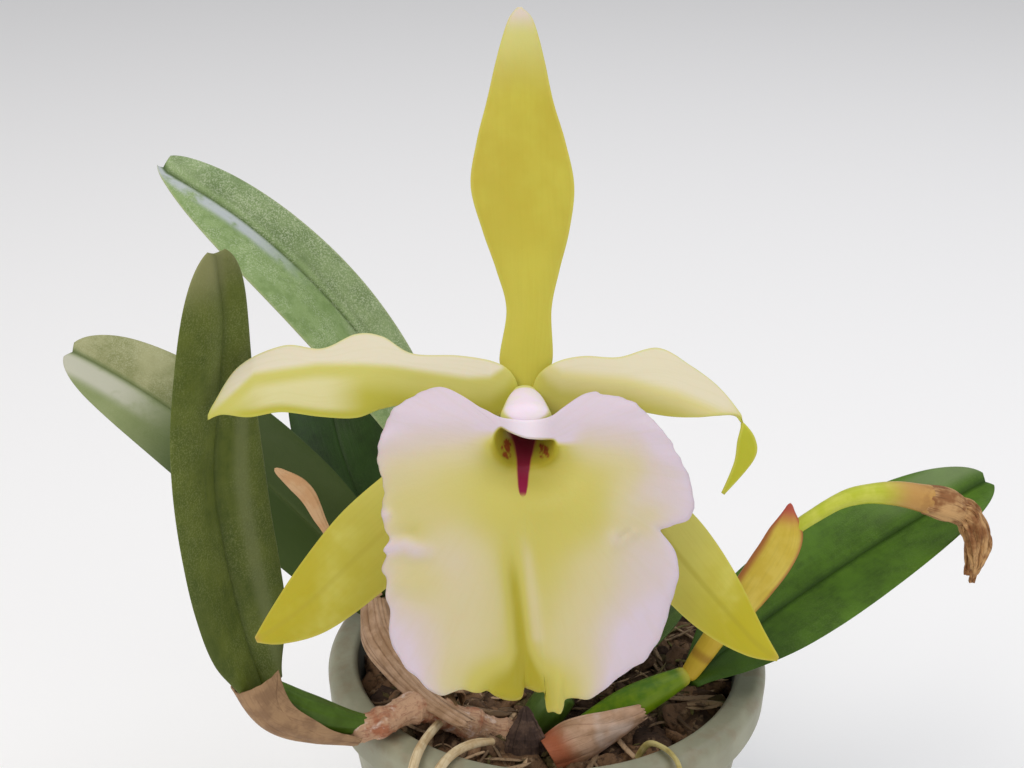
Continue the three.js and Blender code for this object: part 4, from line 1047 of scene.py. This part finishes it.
# %% Husks
HUSKS = {
    "husk_front": dict(
        route=[[-43.4, -40, 97.2], [-52, -42.8, 101.4], [-60.2, -45, 106.8], [-65, -44.9, 116]],
        radii=[4.2, 5.4, 5.9, 6.2], edges=[[105, 70], [262, 345]], torn=0.15, folded=0.5,
    ),
    "husk_left": dict(
        route=[[-25, -26.5, 92.5], [-32, -13, 98.5], [-41, 1, 103]], radii=[6, 6, 5],
        edges=[[-150, -150], [110, 110]],
    ),
    "husk_right": dict(
        route=[[0, -36, 86], [7, -33.2, 89.4], [14, -30.6, 92.6], [21, -28, 95.6]],
        radii=[4.6, 5.6, 5.2, 4.4], edges=[[-40, 60], [230, 205]], torn=0.8, folded=0.4,
    ),
    "husk_rag": dict(
        route=[
            [-42.9, -3.6, 106.6], [-41, -13.3, 102.6], [-36, -22.2, 99.8], [-28.5, -30.4, 97],
            [-18, -36.4, 93.4],
        ],
        radii=[3.2, 4.3, 3.7, 2.8, 2.8], edges=[[-100, -70], [100, 70]], torn=0.7, folded=1.2,
    ),
}  # fmt: skip


def husk_points(route, radii, edges, seed, torn=1, folded=1, rows=100, cols=104, steps=400):
    """Part of a tube: middle + radius (outward cos a + side sin a), with a between two edges that are
    given for its start and its end. It is torn at both ends and folded along its length, as much as
    the two numbers say."""
    waves = random_waves(seed, (3, 12), (3, 12))
    fibres = random_waves(seed + 1, (20, 60), (20, 60))
    folds = random_waves(seed + 2, (0.5, 3), (9, 26), count=4)
    u = np.linspace(0, 1, rows)[:, None]
    v = np.linspace(0, 1, cols)[None]
    share = np.clip(u * (0.97 + torn * (0.06 * waves(0, 2.2 * v) + 0.035 * fibres(0, 1.3 * v))), 0, 1)
    middle, side, outward, _ = frame_along(route, np.linspace(0, 1, steps), (0, 0, 1))
    at = share * (steps - 1)
    i = np.clip(at.astype(int), 0, steps - 2)
    f = (at - i)[..., None]
    middle, side, outward = (x[i] * (1 - f) + x[i + 1] * f for x in (middle, side, outward))
    (one, one_end), (two, two_end) = edges
    first = one + (one_end - one) * share
    turn = np.radians(first + (two + (two_end - two) * share - first) * v + 5 * waves(2 * u, 0))
    crease = np.abs(folds(u, v)) ** 0.7
    radius = smooth(radii, share) + 0.3 * waves(1.3 * u, 2.0 * v) + 0.08 * fibres(0.15 * u, v)
    radius = radius + folded * (0.9 * crease - 0.5)
    out = outward * np.cos(turn)[..., None] + side * np.sin(turn)[..., None]
    return middle + radius[..., None] * out, share, crease / max(folded, 0.7)


for number, (name, form) in enumerate(HUSKS.items()):
    points, along, crease = husk_points(**form, seed=80 + 3 * number)
    stems[name] = sheet(name + "_paper", points, 0.35, along=along, crease=crease)
    if name != "husk_rag":
        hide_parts(name)

# %% [markdown]
# ## Litter on the bark
# Shreds of old sheath and bark fibre lie over the chips. Each shred is a short bent ribbon, and all
# of them are worked out in one go, as the chips are.

# %% Litter
SHREDS = 320


def shred_bodies(centres, turns, sizes, seed, rows=8, cols=6):
    """Ribbons: length s along, width / 2 cos b + sway s squared across, and thickness / 2 sin b + bend
    s squared upwards, with s from -1/2 to 1/2, narrower at both ends, then turned and moved."""
    rng = np.random.default_rng(seed)
    s = np.linspace(-0.5, 0.5, rows)[None, :, None]
    b = np.linspace(0, 2 * np.pi, cols, endpoint=False)[None, None]
    bend, sway = rng.uniform(-5, 5, (2, len(centres), 1, 1))
    length, wide, deep = (sizes[:, k, None, None] for k in range(3))
    taper = np.sqrt(np.clip(1 - (2 * s) ** 6, 0.02, 1))
    across = sway * s * s + taper * wide / 2 * np.cos(b)
    upward = bend * s * s + taper * deep / 2 * np.sin(b)
    body = np.stack([length * s + 0 * b, across, upward], -1)
    return np.einsum("nij,nrcj->nrci", turns, body) + centres[:, None, None]


rng = np.random.default_rng(17)
reach = (MOUND_RADIUS - 1) * np.sqrt(rng.uniform(0.02, 1, SHREDS))
spin = rng.uniform(0, 2 * np.pi, SHREDS)
level = BARK_LEVEL + rng.uniform(1.6, 3.6, SHREDS)
centres = np.stack([reach * np.cos(spin), reach * np.sin(spin), level], -1)
turns = turns_from(*draws(rng, SHREDS, (0, np.pi), (-0.4, 0.4), (-0.25, 0.25)))
sizes = np.stack(draws(rng, SHREDS, (5, 16), (0.4, 1.8), (0.3, 0.6)), -1)
litter = many_bodies("litter_shreds", shred_bodies(centres, turns, sizes, 18), rng.uniform(0, 1, SHREDS))
print("shreds:", SHREDS, "faces:", len(litter.data.polygons))

# %% [markdown]
# ## The spent flower
# The flower on the right stalk has withered: its sepals and petals hang limp and brown. The work
# frame holds it as a core with five hanging blades, and here each blade becomes a crumpled ribbon.

# %% Spent flower
SPENT_PETALS = 5
core = stem_rings(
    [[89.2, -3.1, 136], [97, -2.8, 133.3], [101, -2.8, 129]], [3.4, 3.9, 2], 60, 36, ends=(0.8, 2.5),
    relief=ribbed(90, 8, 0.2),
)  # fmt: skip
spent = [skin("spent_core", core)]
for i in range(SPENT_PETALS):
    spin = math.radians(360 / SPENT_PETALS * i + 20)
    dy, dz = 2.6 * math.cos(spin), 2.6 * math.sin(spin)
    route = [
        [96, -2.8 + 0.5 * dy, 134 + 0.5 * dz],
        [101, -2.8 + dy, 131 + dz],
        [104, -3 + 1.4 * dy, 124 + dz],
        [104.5 - 0.4 * i, -3.4 + dy, 116 + dz],
    ]
    t = np.linspace(0, 1, 90)
    middle, side, outward, _ = frame_along(route, t, (0, math.cos(spin), math.sin(spin)))
    v = np.linspace(-1, 1, 31)[None]
    t = t[:, None]
    waves = random_waves(91 + i, (5, 17), (5, 17))
    wide = smooth([1.8, 3, 2.6, 0.6], t)
    high = 0.8 * waves(1.5 * t, 0.7 * v) + 0.2 * wide * np.cos(5 * v + 3 * t)
    across = side[:, None] * (v * wide * 0.9)[..., None]
    points = middle[:, None] + across + outward[:, None] * high[..., None]
    spent.append(sheet(f"spent_petal_{i + 1}", points, 0.5))
for piece in spent:
    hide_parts("spent_flower")

# %% [markdown]
# ## Finish of the leaves
# A leathery leaf under a thin grey coat of wax. The wax makes the green look mealy, with fine pale
# dots, and it is rubbed thinner in places, so the green underneath shows darker. The midrib is a
# narrow dark groove. On the leaves that stand in the light, a pale bluish band beside it is a
# painted sheen, a painted reflection of the sky. Painted light and painted shade on some halves,
# tips and bases are named at their coats. The wax dots are 0.2 mm on the plant and are drawn nearly
# twice as coarse, so that they show.

# %% Leaf finishes
WAX_DOTS = (0.36, 2)
LEAF_FIBRE = (14, 0.8, 2)


def waxed_leaf(name, deep, light, wax, dots, *extra):
    """Leaf skin under wax: green in blotches, mottling and fibres, dots of wax, then the extra coats."""
    return finish(
        "waxed_" + name,
        deep,
        [
            (light, 1.0, ((9, 4), 0.34, 0.68)),
            (light, 0.3, ((2.2, 4), 0.42, 0.6)),
            (light, 0.25, (LEAF_FIBRE, 0.45, 0.65)),
            (wax, dots, (WAX_DOTS, 0.44, 0.66), ((12, 3), 0.3, 0.62)),
            *extra,
        ],
        [(WAX_DOTS, 0.05), (LEAF_FIBRE, 0.08)],
        (0.42, 0.54),
        Specular_IOR_Level=0.2,
    )


# Each leaf: deep and light green, wax, how much the dots of wax cover, then the coats of that leaf alone
LEAF_PAINTS = {
    "leaf_tall": (
        "#6c8252", "#8ca06e", "#bec8a8", 0.5,
        # partly the lower half's own paler green and partly painted light, where that half of the fold faces
        # the light
        ("#869e60", 0.7, ("right", 0.5, 0.1)),
        ("#6a8446", 0.5, ("right", 0.3, 0.0), ((3, 3), 0.45, 0.62)),
        # painted sheen: a pale bluish reflection painted along the groove, strong near the tip and fainter
        # further down
        ("#bcc0c8", 0.85, ("sheen", 0.1, 0.9), ("along", 0.6, 0.78), ((5, 3), 0.25, 0.5)),
        ("#b3ba9c", 0.7, ("sheen", 0.15, 0.9), ("along", 0.55, 0.42), ((5, 3), 0.3, 0.55)),
        ("#45592f", 0.9, ("middle", 1.6, 0.2)),
        # painted shade: the upper half is painted darker beside the groove, where the fold turns it from the
        # light
        ("#45592f", 0.4, ("middle", 5.0, 1.0), ("right", 0.4, 0.6)),
        ("#b9bd92", 0.4, ("across", 0.95, 1.0)),
        ("#c2ccae", 0.4, (WAX_DOTS, 0.44, 0.66), ((7, 3), 0.35, 0.6)),
    ),
    "leaf_front": (
        "#48551a", "#5e6826", "#868d58", 0.4,
        ("#7c8258", 0.45, ("sheen", 0.1, 1.0), ("along", 0.84, 0.6)),
        # the upturned tip is painted paler, partly its own colour and partly painted light falling on it from
        # above
        ("#9c9a6c", 0.5, ("right", 0.5, 0.1), ("along", 0.86, 0.97)),
        ("#8c8a5e", 0.45, ("along", 0.9, 1.0), ((5, 3), 0.2, 0.5)),
        ("#39461a", 0.35, ("middle", 2.2, 0.2)),
        ("#39461a", 0.3, ("across", 0.6, 0.95), ("along", 0.5, 0.2)),
    ),
    "leaf_left": (
        "#868a5a", "#a3a378", "#c2c4a4", 0.35,
        ("#7f8f5c", 0.7, ("right", 0.4, 0.1)),
        ("#c4c2b2", 0.85, ("sheen", 0.1, 0.8), ("along", 0.62, 0.85), ((8, 3), 0.2, 0.5)),
        # painted shade: the base of the leaf is painted dark green, where it lies in shade
        ("#34461a", 0.95, ("along", 0.82, 0.52)),
        ("#5a673c", 0.8, ("middle", 1.5, 0.2)),
    ),
    # painted shade: the short leaf stands in the shade of the others, so its greens are painted darker than
    # its own
    "leaf_short": ("#20330b", "#2b4413", "#53623c", 0.15, ("#182708", 0.7, ("middle", 1.2, 0.1))),
    "leaf_main": ("#2f4410", "#425a1c", "#74844e", 0.2, ("#233508", 0.7, ("middle", 1.2, 0.1))),
    "leaf_right": (
        "#3b580f", "#507418", "#6c8248", 0.22,
        ("#7b8c60", 0.6, ("sheen", 0.1, 0.8), ("along", 0.6, 0.9)),
        ("#233d06", 0.85, ("middle", 2.2, 0.2)),
        ("#233d06", 0.6, ("along", 0.35, 0.1)),
    ),
}  # fmt: skip
for name, paints in LEAF_PAINTS.items():
    leaves[name].data.materials.append(waxed_leaf(name, *paints))

# %% [markdown]
# ## Finish of the bloom
# Petals are thin, waxy and full of light: fine veins run from base to tip, and the cells under the
# surface scatter what falls on them. The veins stand 0.6 mm apart and the relief of the cells is
# drawn at 0.4 mm, about ten times too coarse, because real cells would not show at this distance.

# %% Sepals, petals and column
VEINS = (16, 0.6, 2)
CELLS = (0.4, 2)
WAXY = dict(Specular_IOR_Level=0.18, Subsurface_Weight=0.1, Subsurface_Scale=0.0015)
VEINED = [(VEINS, 0.02), (CELLS, 0.02), ((6, 2), 0.15)]
PETAL_FOOT = [
    ("#c4be52", 0.85, ("along", 0.14, 0.03)),
    ("#b7b050", 0.06, (VEINS, 0.46, 0.66)),
    ("#c6c55e", 0.5, ("inset", 0.7, 0.1)),
]


def waxy_sepal(side, base, blade, spread, midrib, cover, tip):
    """Lower sepal: one colour at its base, one over its blade, faint veins, a midrib, a tip and a paler
    rim. spread is the share of the length over which the colour of the blade sets in."""
    coats = [
        (blade, 0.95, ("along", *spread), ((12, 3), 0.1, 0.55)),
        ("#a8993a", 0.08, (VEINS, 0.46, 0.66)),
        (midrib, cover, ("middle", 0.9, 0.1)),
        (tip, 0.95, ("along", 0.93, 1.0)),
        ("#c9c35c", 0.35, ("inset", 0.8, 0.1)),
    ]
    return finish(f"waxy_{side}_sepal", base, coats, VEINED, (0.45, 0.55), **WAXY)


looks = {
    "dorsal_sepal": finish(
        "waxy_upper_sepal", "#c3b947",
        [
            ("#b8a737", 0.8, ("along", 0.2, 0.55), ((12, 3), 0.2, 0.65)),
            ("#b0a234", 0.1, (VEINS, 0.46, 0.66)),
            ("#cdc87c", 0.9, ("along", 0.66, 0.84)),
            ("#d9cbbf", 0.95, ("along", 0.82, 0.95)),
            ("#cfca64", 0.4, ("inset", 0.9, 0.1)),
        ],
        VEINED, (0.45, 0.55), **WAXY,
    ),
    "sepal_left": waxy_sepal("left", "#c8c260", "#b0a324", (0.3, 0.75), "#a99a38", 0.3, "#b69746"),
    "sepal_right": waxy_sepal("right", "#cfc866", "#b2a61c", (0.4, 0.8), "#a3962a", 0.4, "#b7a23a"),
    "petal_left": finish(
        "waxy_left_petal", "#b9b344",
        [
            ("#c9c36a", 1.0, ("above", -6.5, -2.2)),
            ("#d9d0b8", 0.97, ("above", -0.7, 1.0)),
            # painted highlight: a pale oval patch on the lower half of the blade
            (
                "#dcd5a4", 0.8,
                ("along", 0.5, 0.64), ("along", 0.88, 0.74), ("above", -1.2, -3.6), ("inset", 0.6, 2.4),
            ),
            ("#c4bf5a", 0.85, ("along", 0.82, 0.97)),
            *PETAL_FOOT,
        ],
        VEINED, (0.42, 0.52), **WAXY,
    ),
    "petal_right": finish(
        "waxy_right_petal", "#bcb458",
        [
            ("#cfc586", 1.0, ("above", -4.0, -0.4)),
            ("#d8cfb2", 0.97, ("above", 0.0, 2.6)),
            ("#c9c070", 0.8, ("along", 0.6, 0.74)),
            ("#b0b12a", 0.95, ("along", 0.7, 0.78)),
            *PETAL_FOOT,
        ],
        VEINED, (0.42, 0.52), **WAXY,
    ),
    "column": finish(
        "waxy_column", "#ead9e6",
        [
            ("#e6dcd6", 0.6, ((4, 2), 0.4, 0.6)),
            ("#d2d070", 0.95, ("edge", 0.78, 0.95)),
            ("#d2d070", 0.9, ("along", 0.2, 0.1)),
        ],
        [(CELLS, 0.02)], (0.4, 0.5), **WAXY,
    ),
}  # fmt: skip

# %% Lip
looks["lip"] = finish(
    "satin_lip",
    "#d2c3cd",
    [
        ("#cfc0b6", 1.0, ("tone", 0.02, 0.26)),
        ("#ccc092", 1.0, ("tone", 0.2, 0.5)),
        ("#c2b85f", 1.0, ("tone", 0.44, 0.74)),
        ("#a99d2c", 1.0, ("tone", 0.72, 1.0)),
        ("#bfb070", 0.06, ((9, 0.6, 2), 0.46, 0.66)),
        ("#eadde6", 0.9, ("aside", 5.2, 0.4), ("low", -10.4, -9.2)),
        ("#8a2e20", 0.9, ("speckles", 0.25, 0.75), ((1.3, 2), 0.3, 0.56)),
        ("#9a4a3c", 0.7, ("tongue", -0.28, 0.0), ("low", -21.2, -20)),
        ("#86113a", 1.0, ("tongue", -0.08, 0.14), ("low", -21, -19.8)),
        ("#6e1a2a", 0.9, ("tongue", -0.02, 0.16), ("low", -19.5, -13.5)),
    ],
    [((9, 0.6, 2), 0.035), ((3, 3), 0.1), (CELLS, 0.02)],
    (0.45, 0.56),
    **WAXY,
)
for name, look in looks.items():
    bloom[name].data.materials.append(look)

# %% [markdown]
# ## Finish of stems and husks
# Living stems are smooth green skin, dead sheaths are dry paper with long fibres, the rhizome is
# scaly and reddish brown, and roots have a corky, chalky skin. Fibres are 0.3 to 0.6 mm wide and
# drawn out to between 4 and 12 mm along the stem.

# %% Stem finishes
FIBRES = (12, 0.5, 3)
PAPER = (9, 0.35, 3)
SCALES = (0.9, 4)


def dry_paper(name, dark, light, deep, *extra):
    """Dead sheath: blotches, long fibres, painted shade in the valleys of its folds, and small scales."""
    coats = [
        (light, 1.0, ((4, 3), 0.35, 0.62)),
        (deep, 0.28, (PAPER, 0.5, 0.68)),
        # painted shade: the paper is painted darker in the valleys of its folds
        (deep, 0.6, ("crease", 0.16, 0.02)),
        *extra,
    ]
    return finish(name, dark, coats, [(PAPER, 0.12), (SCALES, 0.06)], (0.65, 0.8), Specular_IOR_Level=0.3)


def stem_skin(name, ground, light, dark, *extra, gloss=(0.36, 0.48)):
    """Living stem: even skin with faint fibres."""
    coats = [(light, 0.8, ((5, 3), 0.35, 0.65)), (dark, 0.18, (FIBRES, 0.48, 0.68)), *extra]
    return finish(name, ground, coats, [(FIBRES, 0.05), ((1.4, 2), 0.05)], gloss, Specular_IOR_Level=0.22)


stem_looks = {
    "cane_front": stem_skin("green_front_cane", "#40590f", "#4d6a1c", "#2e430a"),
    "cane_main": stem_skin("green_main_cane", "#3f5518", "#50692a", "#2e400f"),
    "cane_right": stem_skin(
        "green_right_cane", "#466a00", "#70880c", "#305400", ("#b0a83a", 0.9, ("along", 0.88, 0.97))
    ),
    "old_cane": finish(
        "dry_cane_bark", "#6e5334",
        [("#a2835c", 1.0, ((5, 4), 0.35, 0.62)), ("#4b3723", 0.6, (FIBRES, 0.48, 0.66))],
        [(FIBRES, 0.3), (SCALES, 0.12)], (0.7, 0.85), Specular_IOR_Level=0.3,
    ),
    "rhizome": finish(
        "scaly_rhizome", "#a5684a",
        [
            ("#c09a7c", 1.0, ((5, 3), 0.32, 0.54)),
            # painted highlights: pale whitish patches over the brown
            ("#dcc8bb", 0.7, ((3.5, 3), 0.55, 0.68)),
            ("#7d4a36", 0.4, ((4, 0.5, 3), 0.5, 0.66)),
            ("#7d4a36", 0.35, (SCALES, 0.54, 0.66)),
        ],
        [((4, 0.5, 3), 0.25), (SCALES, 0.15), ((3, 3), 0.4)], (0.65, 0.8), Specular_IOR_Level=0.25,
    ),
    "root": finish(
        "corky_root", "#bfa47c",
        [("#d8c6a2", 0.9, ((5, 3), 0.4, 0.62)), ("#94764e", 0.5, ((7, 0.6, 3), 0.5, 0.68))],
        [((5, 0.6, 3), 0.15), (SCALES, 0.08)], (0.75, 0.9), Specular_IOR_Level=0.3,
    ),
    "root_right": finish(
        "thin_yellow_root", "#b1a05c",
        [("#cbbd80", 0.9, ((5, 3), 0.4, 0.62)), ("#86743f", 0.5, ((7, 0.6, 3), 0.52, 0.68))],
        [((5, 0.6, 3), 0.12), (SCALES, 0.06)], (0.6, 0.8), Specular_IOR_Level=0.3,
    ),
    "husk_front": dry_paper("pinkish_sheath_paper", "#88694c", "#a2815f", "#62452f"),
    "husk_left": dry_paper("brown_sheath_paper", "#7e5f42", "#a08261", "#3f2b20"),
    "husk_rag": dry_paper("pinkish_rag_paper", "#9b7a5c", "#b5957a", "#624632"),
    "husk_right": dry_paper(
        "rosy_sheath_paper", "#b28c6c", "#caa488", "#8f6a4e",
        # painted highlight: a whitish patch along the middle of the sheath; the reddish brown coat after it
        # is its own colour near its base
        ("#dccabf", 0.7, ("along", 0.3, 0.55), ((7, 2), 0.38, 0.7)), ("#a5522e", 0.85, ("along", 0.3, 0.1)),
    ),
    # painted light: the bract is painted paler than its paper so that it looks lit where it stands in shade
    "bract_dry": dry_paper("tan_bract_paper", "#e2b486", "#f0d0a6", "#b98a60"),
    "bark_chip": finish(
        "dark_bark_sliver", "#4b3a33",
        [("#6b5548", 0.8, ((3, 4), 0.42, 0.64)), ("#2c211c", 0.7, ((8, 0.6, 3), 0.5, 0.66))],
        [((8, 0.6, 3), 0.4), (SCALES, 0.25)], (0.8, 0.95), Specular_IOR_Level=0.3,
    ),
    "spathe_main": stem_skin("green_spathe", "#9a9a35", "#aeac49", "#7d7d25"),
    "spathe_right": stem_skin(
        "yellow_spathe", "#ceb340", "#d8c054", "#a8923a",
        ("#a8593a", 0.85, ("edge", 0.66, 0.97), ("along", 0.3, 0.6)),
        ("#c0a02c", 0.9, ("along", 0.34, 0.2)),
        ("#93691f", 0.7, ("along", 0.1, 0.13), ("along", 0.17, 0.14)),
        ("#b04a44", 0.95, ("along", 0.86, 0.98)),
        gloss=(0.45, 0.55),
    ),
    "stalk_main": stem_skin("green_stalk", "#a2a63a", "#b5b750", "#878c2a"),
    "stalk_right": stem_skin(
        "fading_stalk", "#b4bc34", "#c6c852", "#9aa02c",
        ("#b98a4e", 0.95, ("along", 0.6, 0.86)),
        ("#8a5a34", 0.6, ("along", 0.84, 1.0), ((3, 3), 0.4, 0.6)),
    ),
    "spent_flower": finish(
        "withered_petal", "#8a5c36",
        [
            ("#c39a68", 1.0, ((5, 3), 0.38, 0.62)),
            ("#5e3a22", 0.6, (PAPER, 0.5, 0.66)),
        ],
        [(PAPER, 0.3), (SCALES, 0.1)], (0.7, 0.85), Specular_IOR_Level=0.3,
    ),
}  # fmt: skip
SLOTS = {
    "green_cane": ["cane_front", "cane_main", "cane_right"],
    "old_cane": ["cane_left", "cane_tall", "cane_short"],
    "rhizome": ["rhizome"],
    "root": ["root_left", "root_front", "root_right"],
    "husk": ["husk_front", "husk_left", "husk_right", "husk_rag", "bract_dry"],
    "spathe": ["spathe_main", "spathe_right"],
    "stalk": ["stalk_main", "stalk_right"],
    "bark": ["bark_chip"],
}
for slot, names in SLOTS.items():
    for name in names:
        look = stem_looks.get(name) or stem_looks[slot]
        stems[name].data.materials.append(look)
for piece in spent:
    piece.data.materials.append(stem_looks["spent_flower"])

# %% [markdown]
# ## Finish of bark and pot
# Fir bark is dark and rough, split along its grain, with paler chips where it broke last. The pot is
# moulded polypropylene: an even grey green with a satin surface, dulled by dust, and with a brown
# bloom of minerals near its rim, where water dries. The inner wall is painted dark grey, painted shade
# inside the pot.

# %% Bark, litter and pot
bark_look = finish(
    "fir_bark", "#45342a",
    [
        ("#86664a", 1.0, ("tint", 0.1, 1.0)),
        ("#5d5330", 0.7, ("tint", 0.16, 0.1)),
        ("#2e2118", 0.7, ((1.6, 5), 0.48, 0.66)),
        ("#b09272", 0.5, ((3, 3), 0.58, 0.7)),
    ],
    [((1.2, 5), 0.5)], (0.85, 0.98), Specular_IOR_Level=0.25,
)  # fmt: skip
litter_look = finish(
    "sheath_litter", "#5f4a35",
    [
        ("#c0a17f", 1.0, ("tint", 0.2, 1.0)),
        ("#8a8a4a", 0.6, ("tint", 0.12, 0.05)),
        ("#3c2b1f", 0.6, ((1.2, 4), 0.5, 0.68)),
    ],
    [((0.9, 3), 0.2)], (0.75, 0.9), Specular_IOR_Level=0.3,
)  # fmt: skip
for piece, look in ((bark_chips, bark_look), (bark_core, bark_look), (litter, litter_look)):
    piece.data.materials.append(look)
corner = np.empty(len(pot.data.vertices) * 3, np.float32)
pot.data.vertices.foreach_get("co", corner)
corner = corner.reshape(-1, 3) / MM
wall_radius, wall_height = np.transpose(inner_wall[::-1])
past_wall = np.hypot(corner[:, 0], corner[:, 1]) - np.interp(corner[:, 2], wall_height, wall_radius)
# painted shade: the mask inner opens on the inner wall below the rim, which is painted dark grey
inner = step(past_wall, 0.9, 0.2) * step(corner[:, 2], 1.6, 2.4) * step(corner[:, 2], 91.4, 90)
for key, value in (("high", corner[:, 2]), ("inner", inner)):
    pot.data.attributes.new(key, "FLOAT", "POINT").data.foreach_set("value", np.ascontiguousarray(value))
pot.data.materials.clear()
pot.data.materials.append(
    finish(
        "moulded_polypropylene", "#8b8a73",
        [
            ("#9c9b84", 1.0, ((16, 4), 0.34, 0.66)),
            ("#84694f", 0.4, ("high", 82, 90), ((7, 4), 0.45, 0.7)),
            ("#9c927e", 0.35, ((2.5, 4), 0.56, 0.72)),
            ("#474c4a", 0.9, ("inner", 0.1, 0.9)),
        ],
        [((1.0, 3), 0.05), ((9, 2), 0.25)], (0.42, 0.6), Specular_IOR_Level=0.45,
    )
)  # fmt: skip

# %% [markdown]
# ## Last step
# Everything rides on the one body of the frame.

# %% Attach every piece to the body of the frame
for piece in [pot, bark_chips, bark_core, litter, *leaves.values(), *bloom.values(), *stems.values(), *spent]:
    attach(piece, "root")
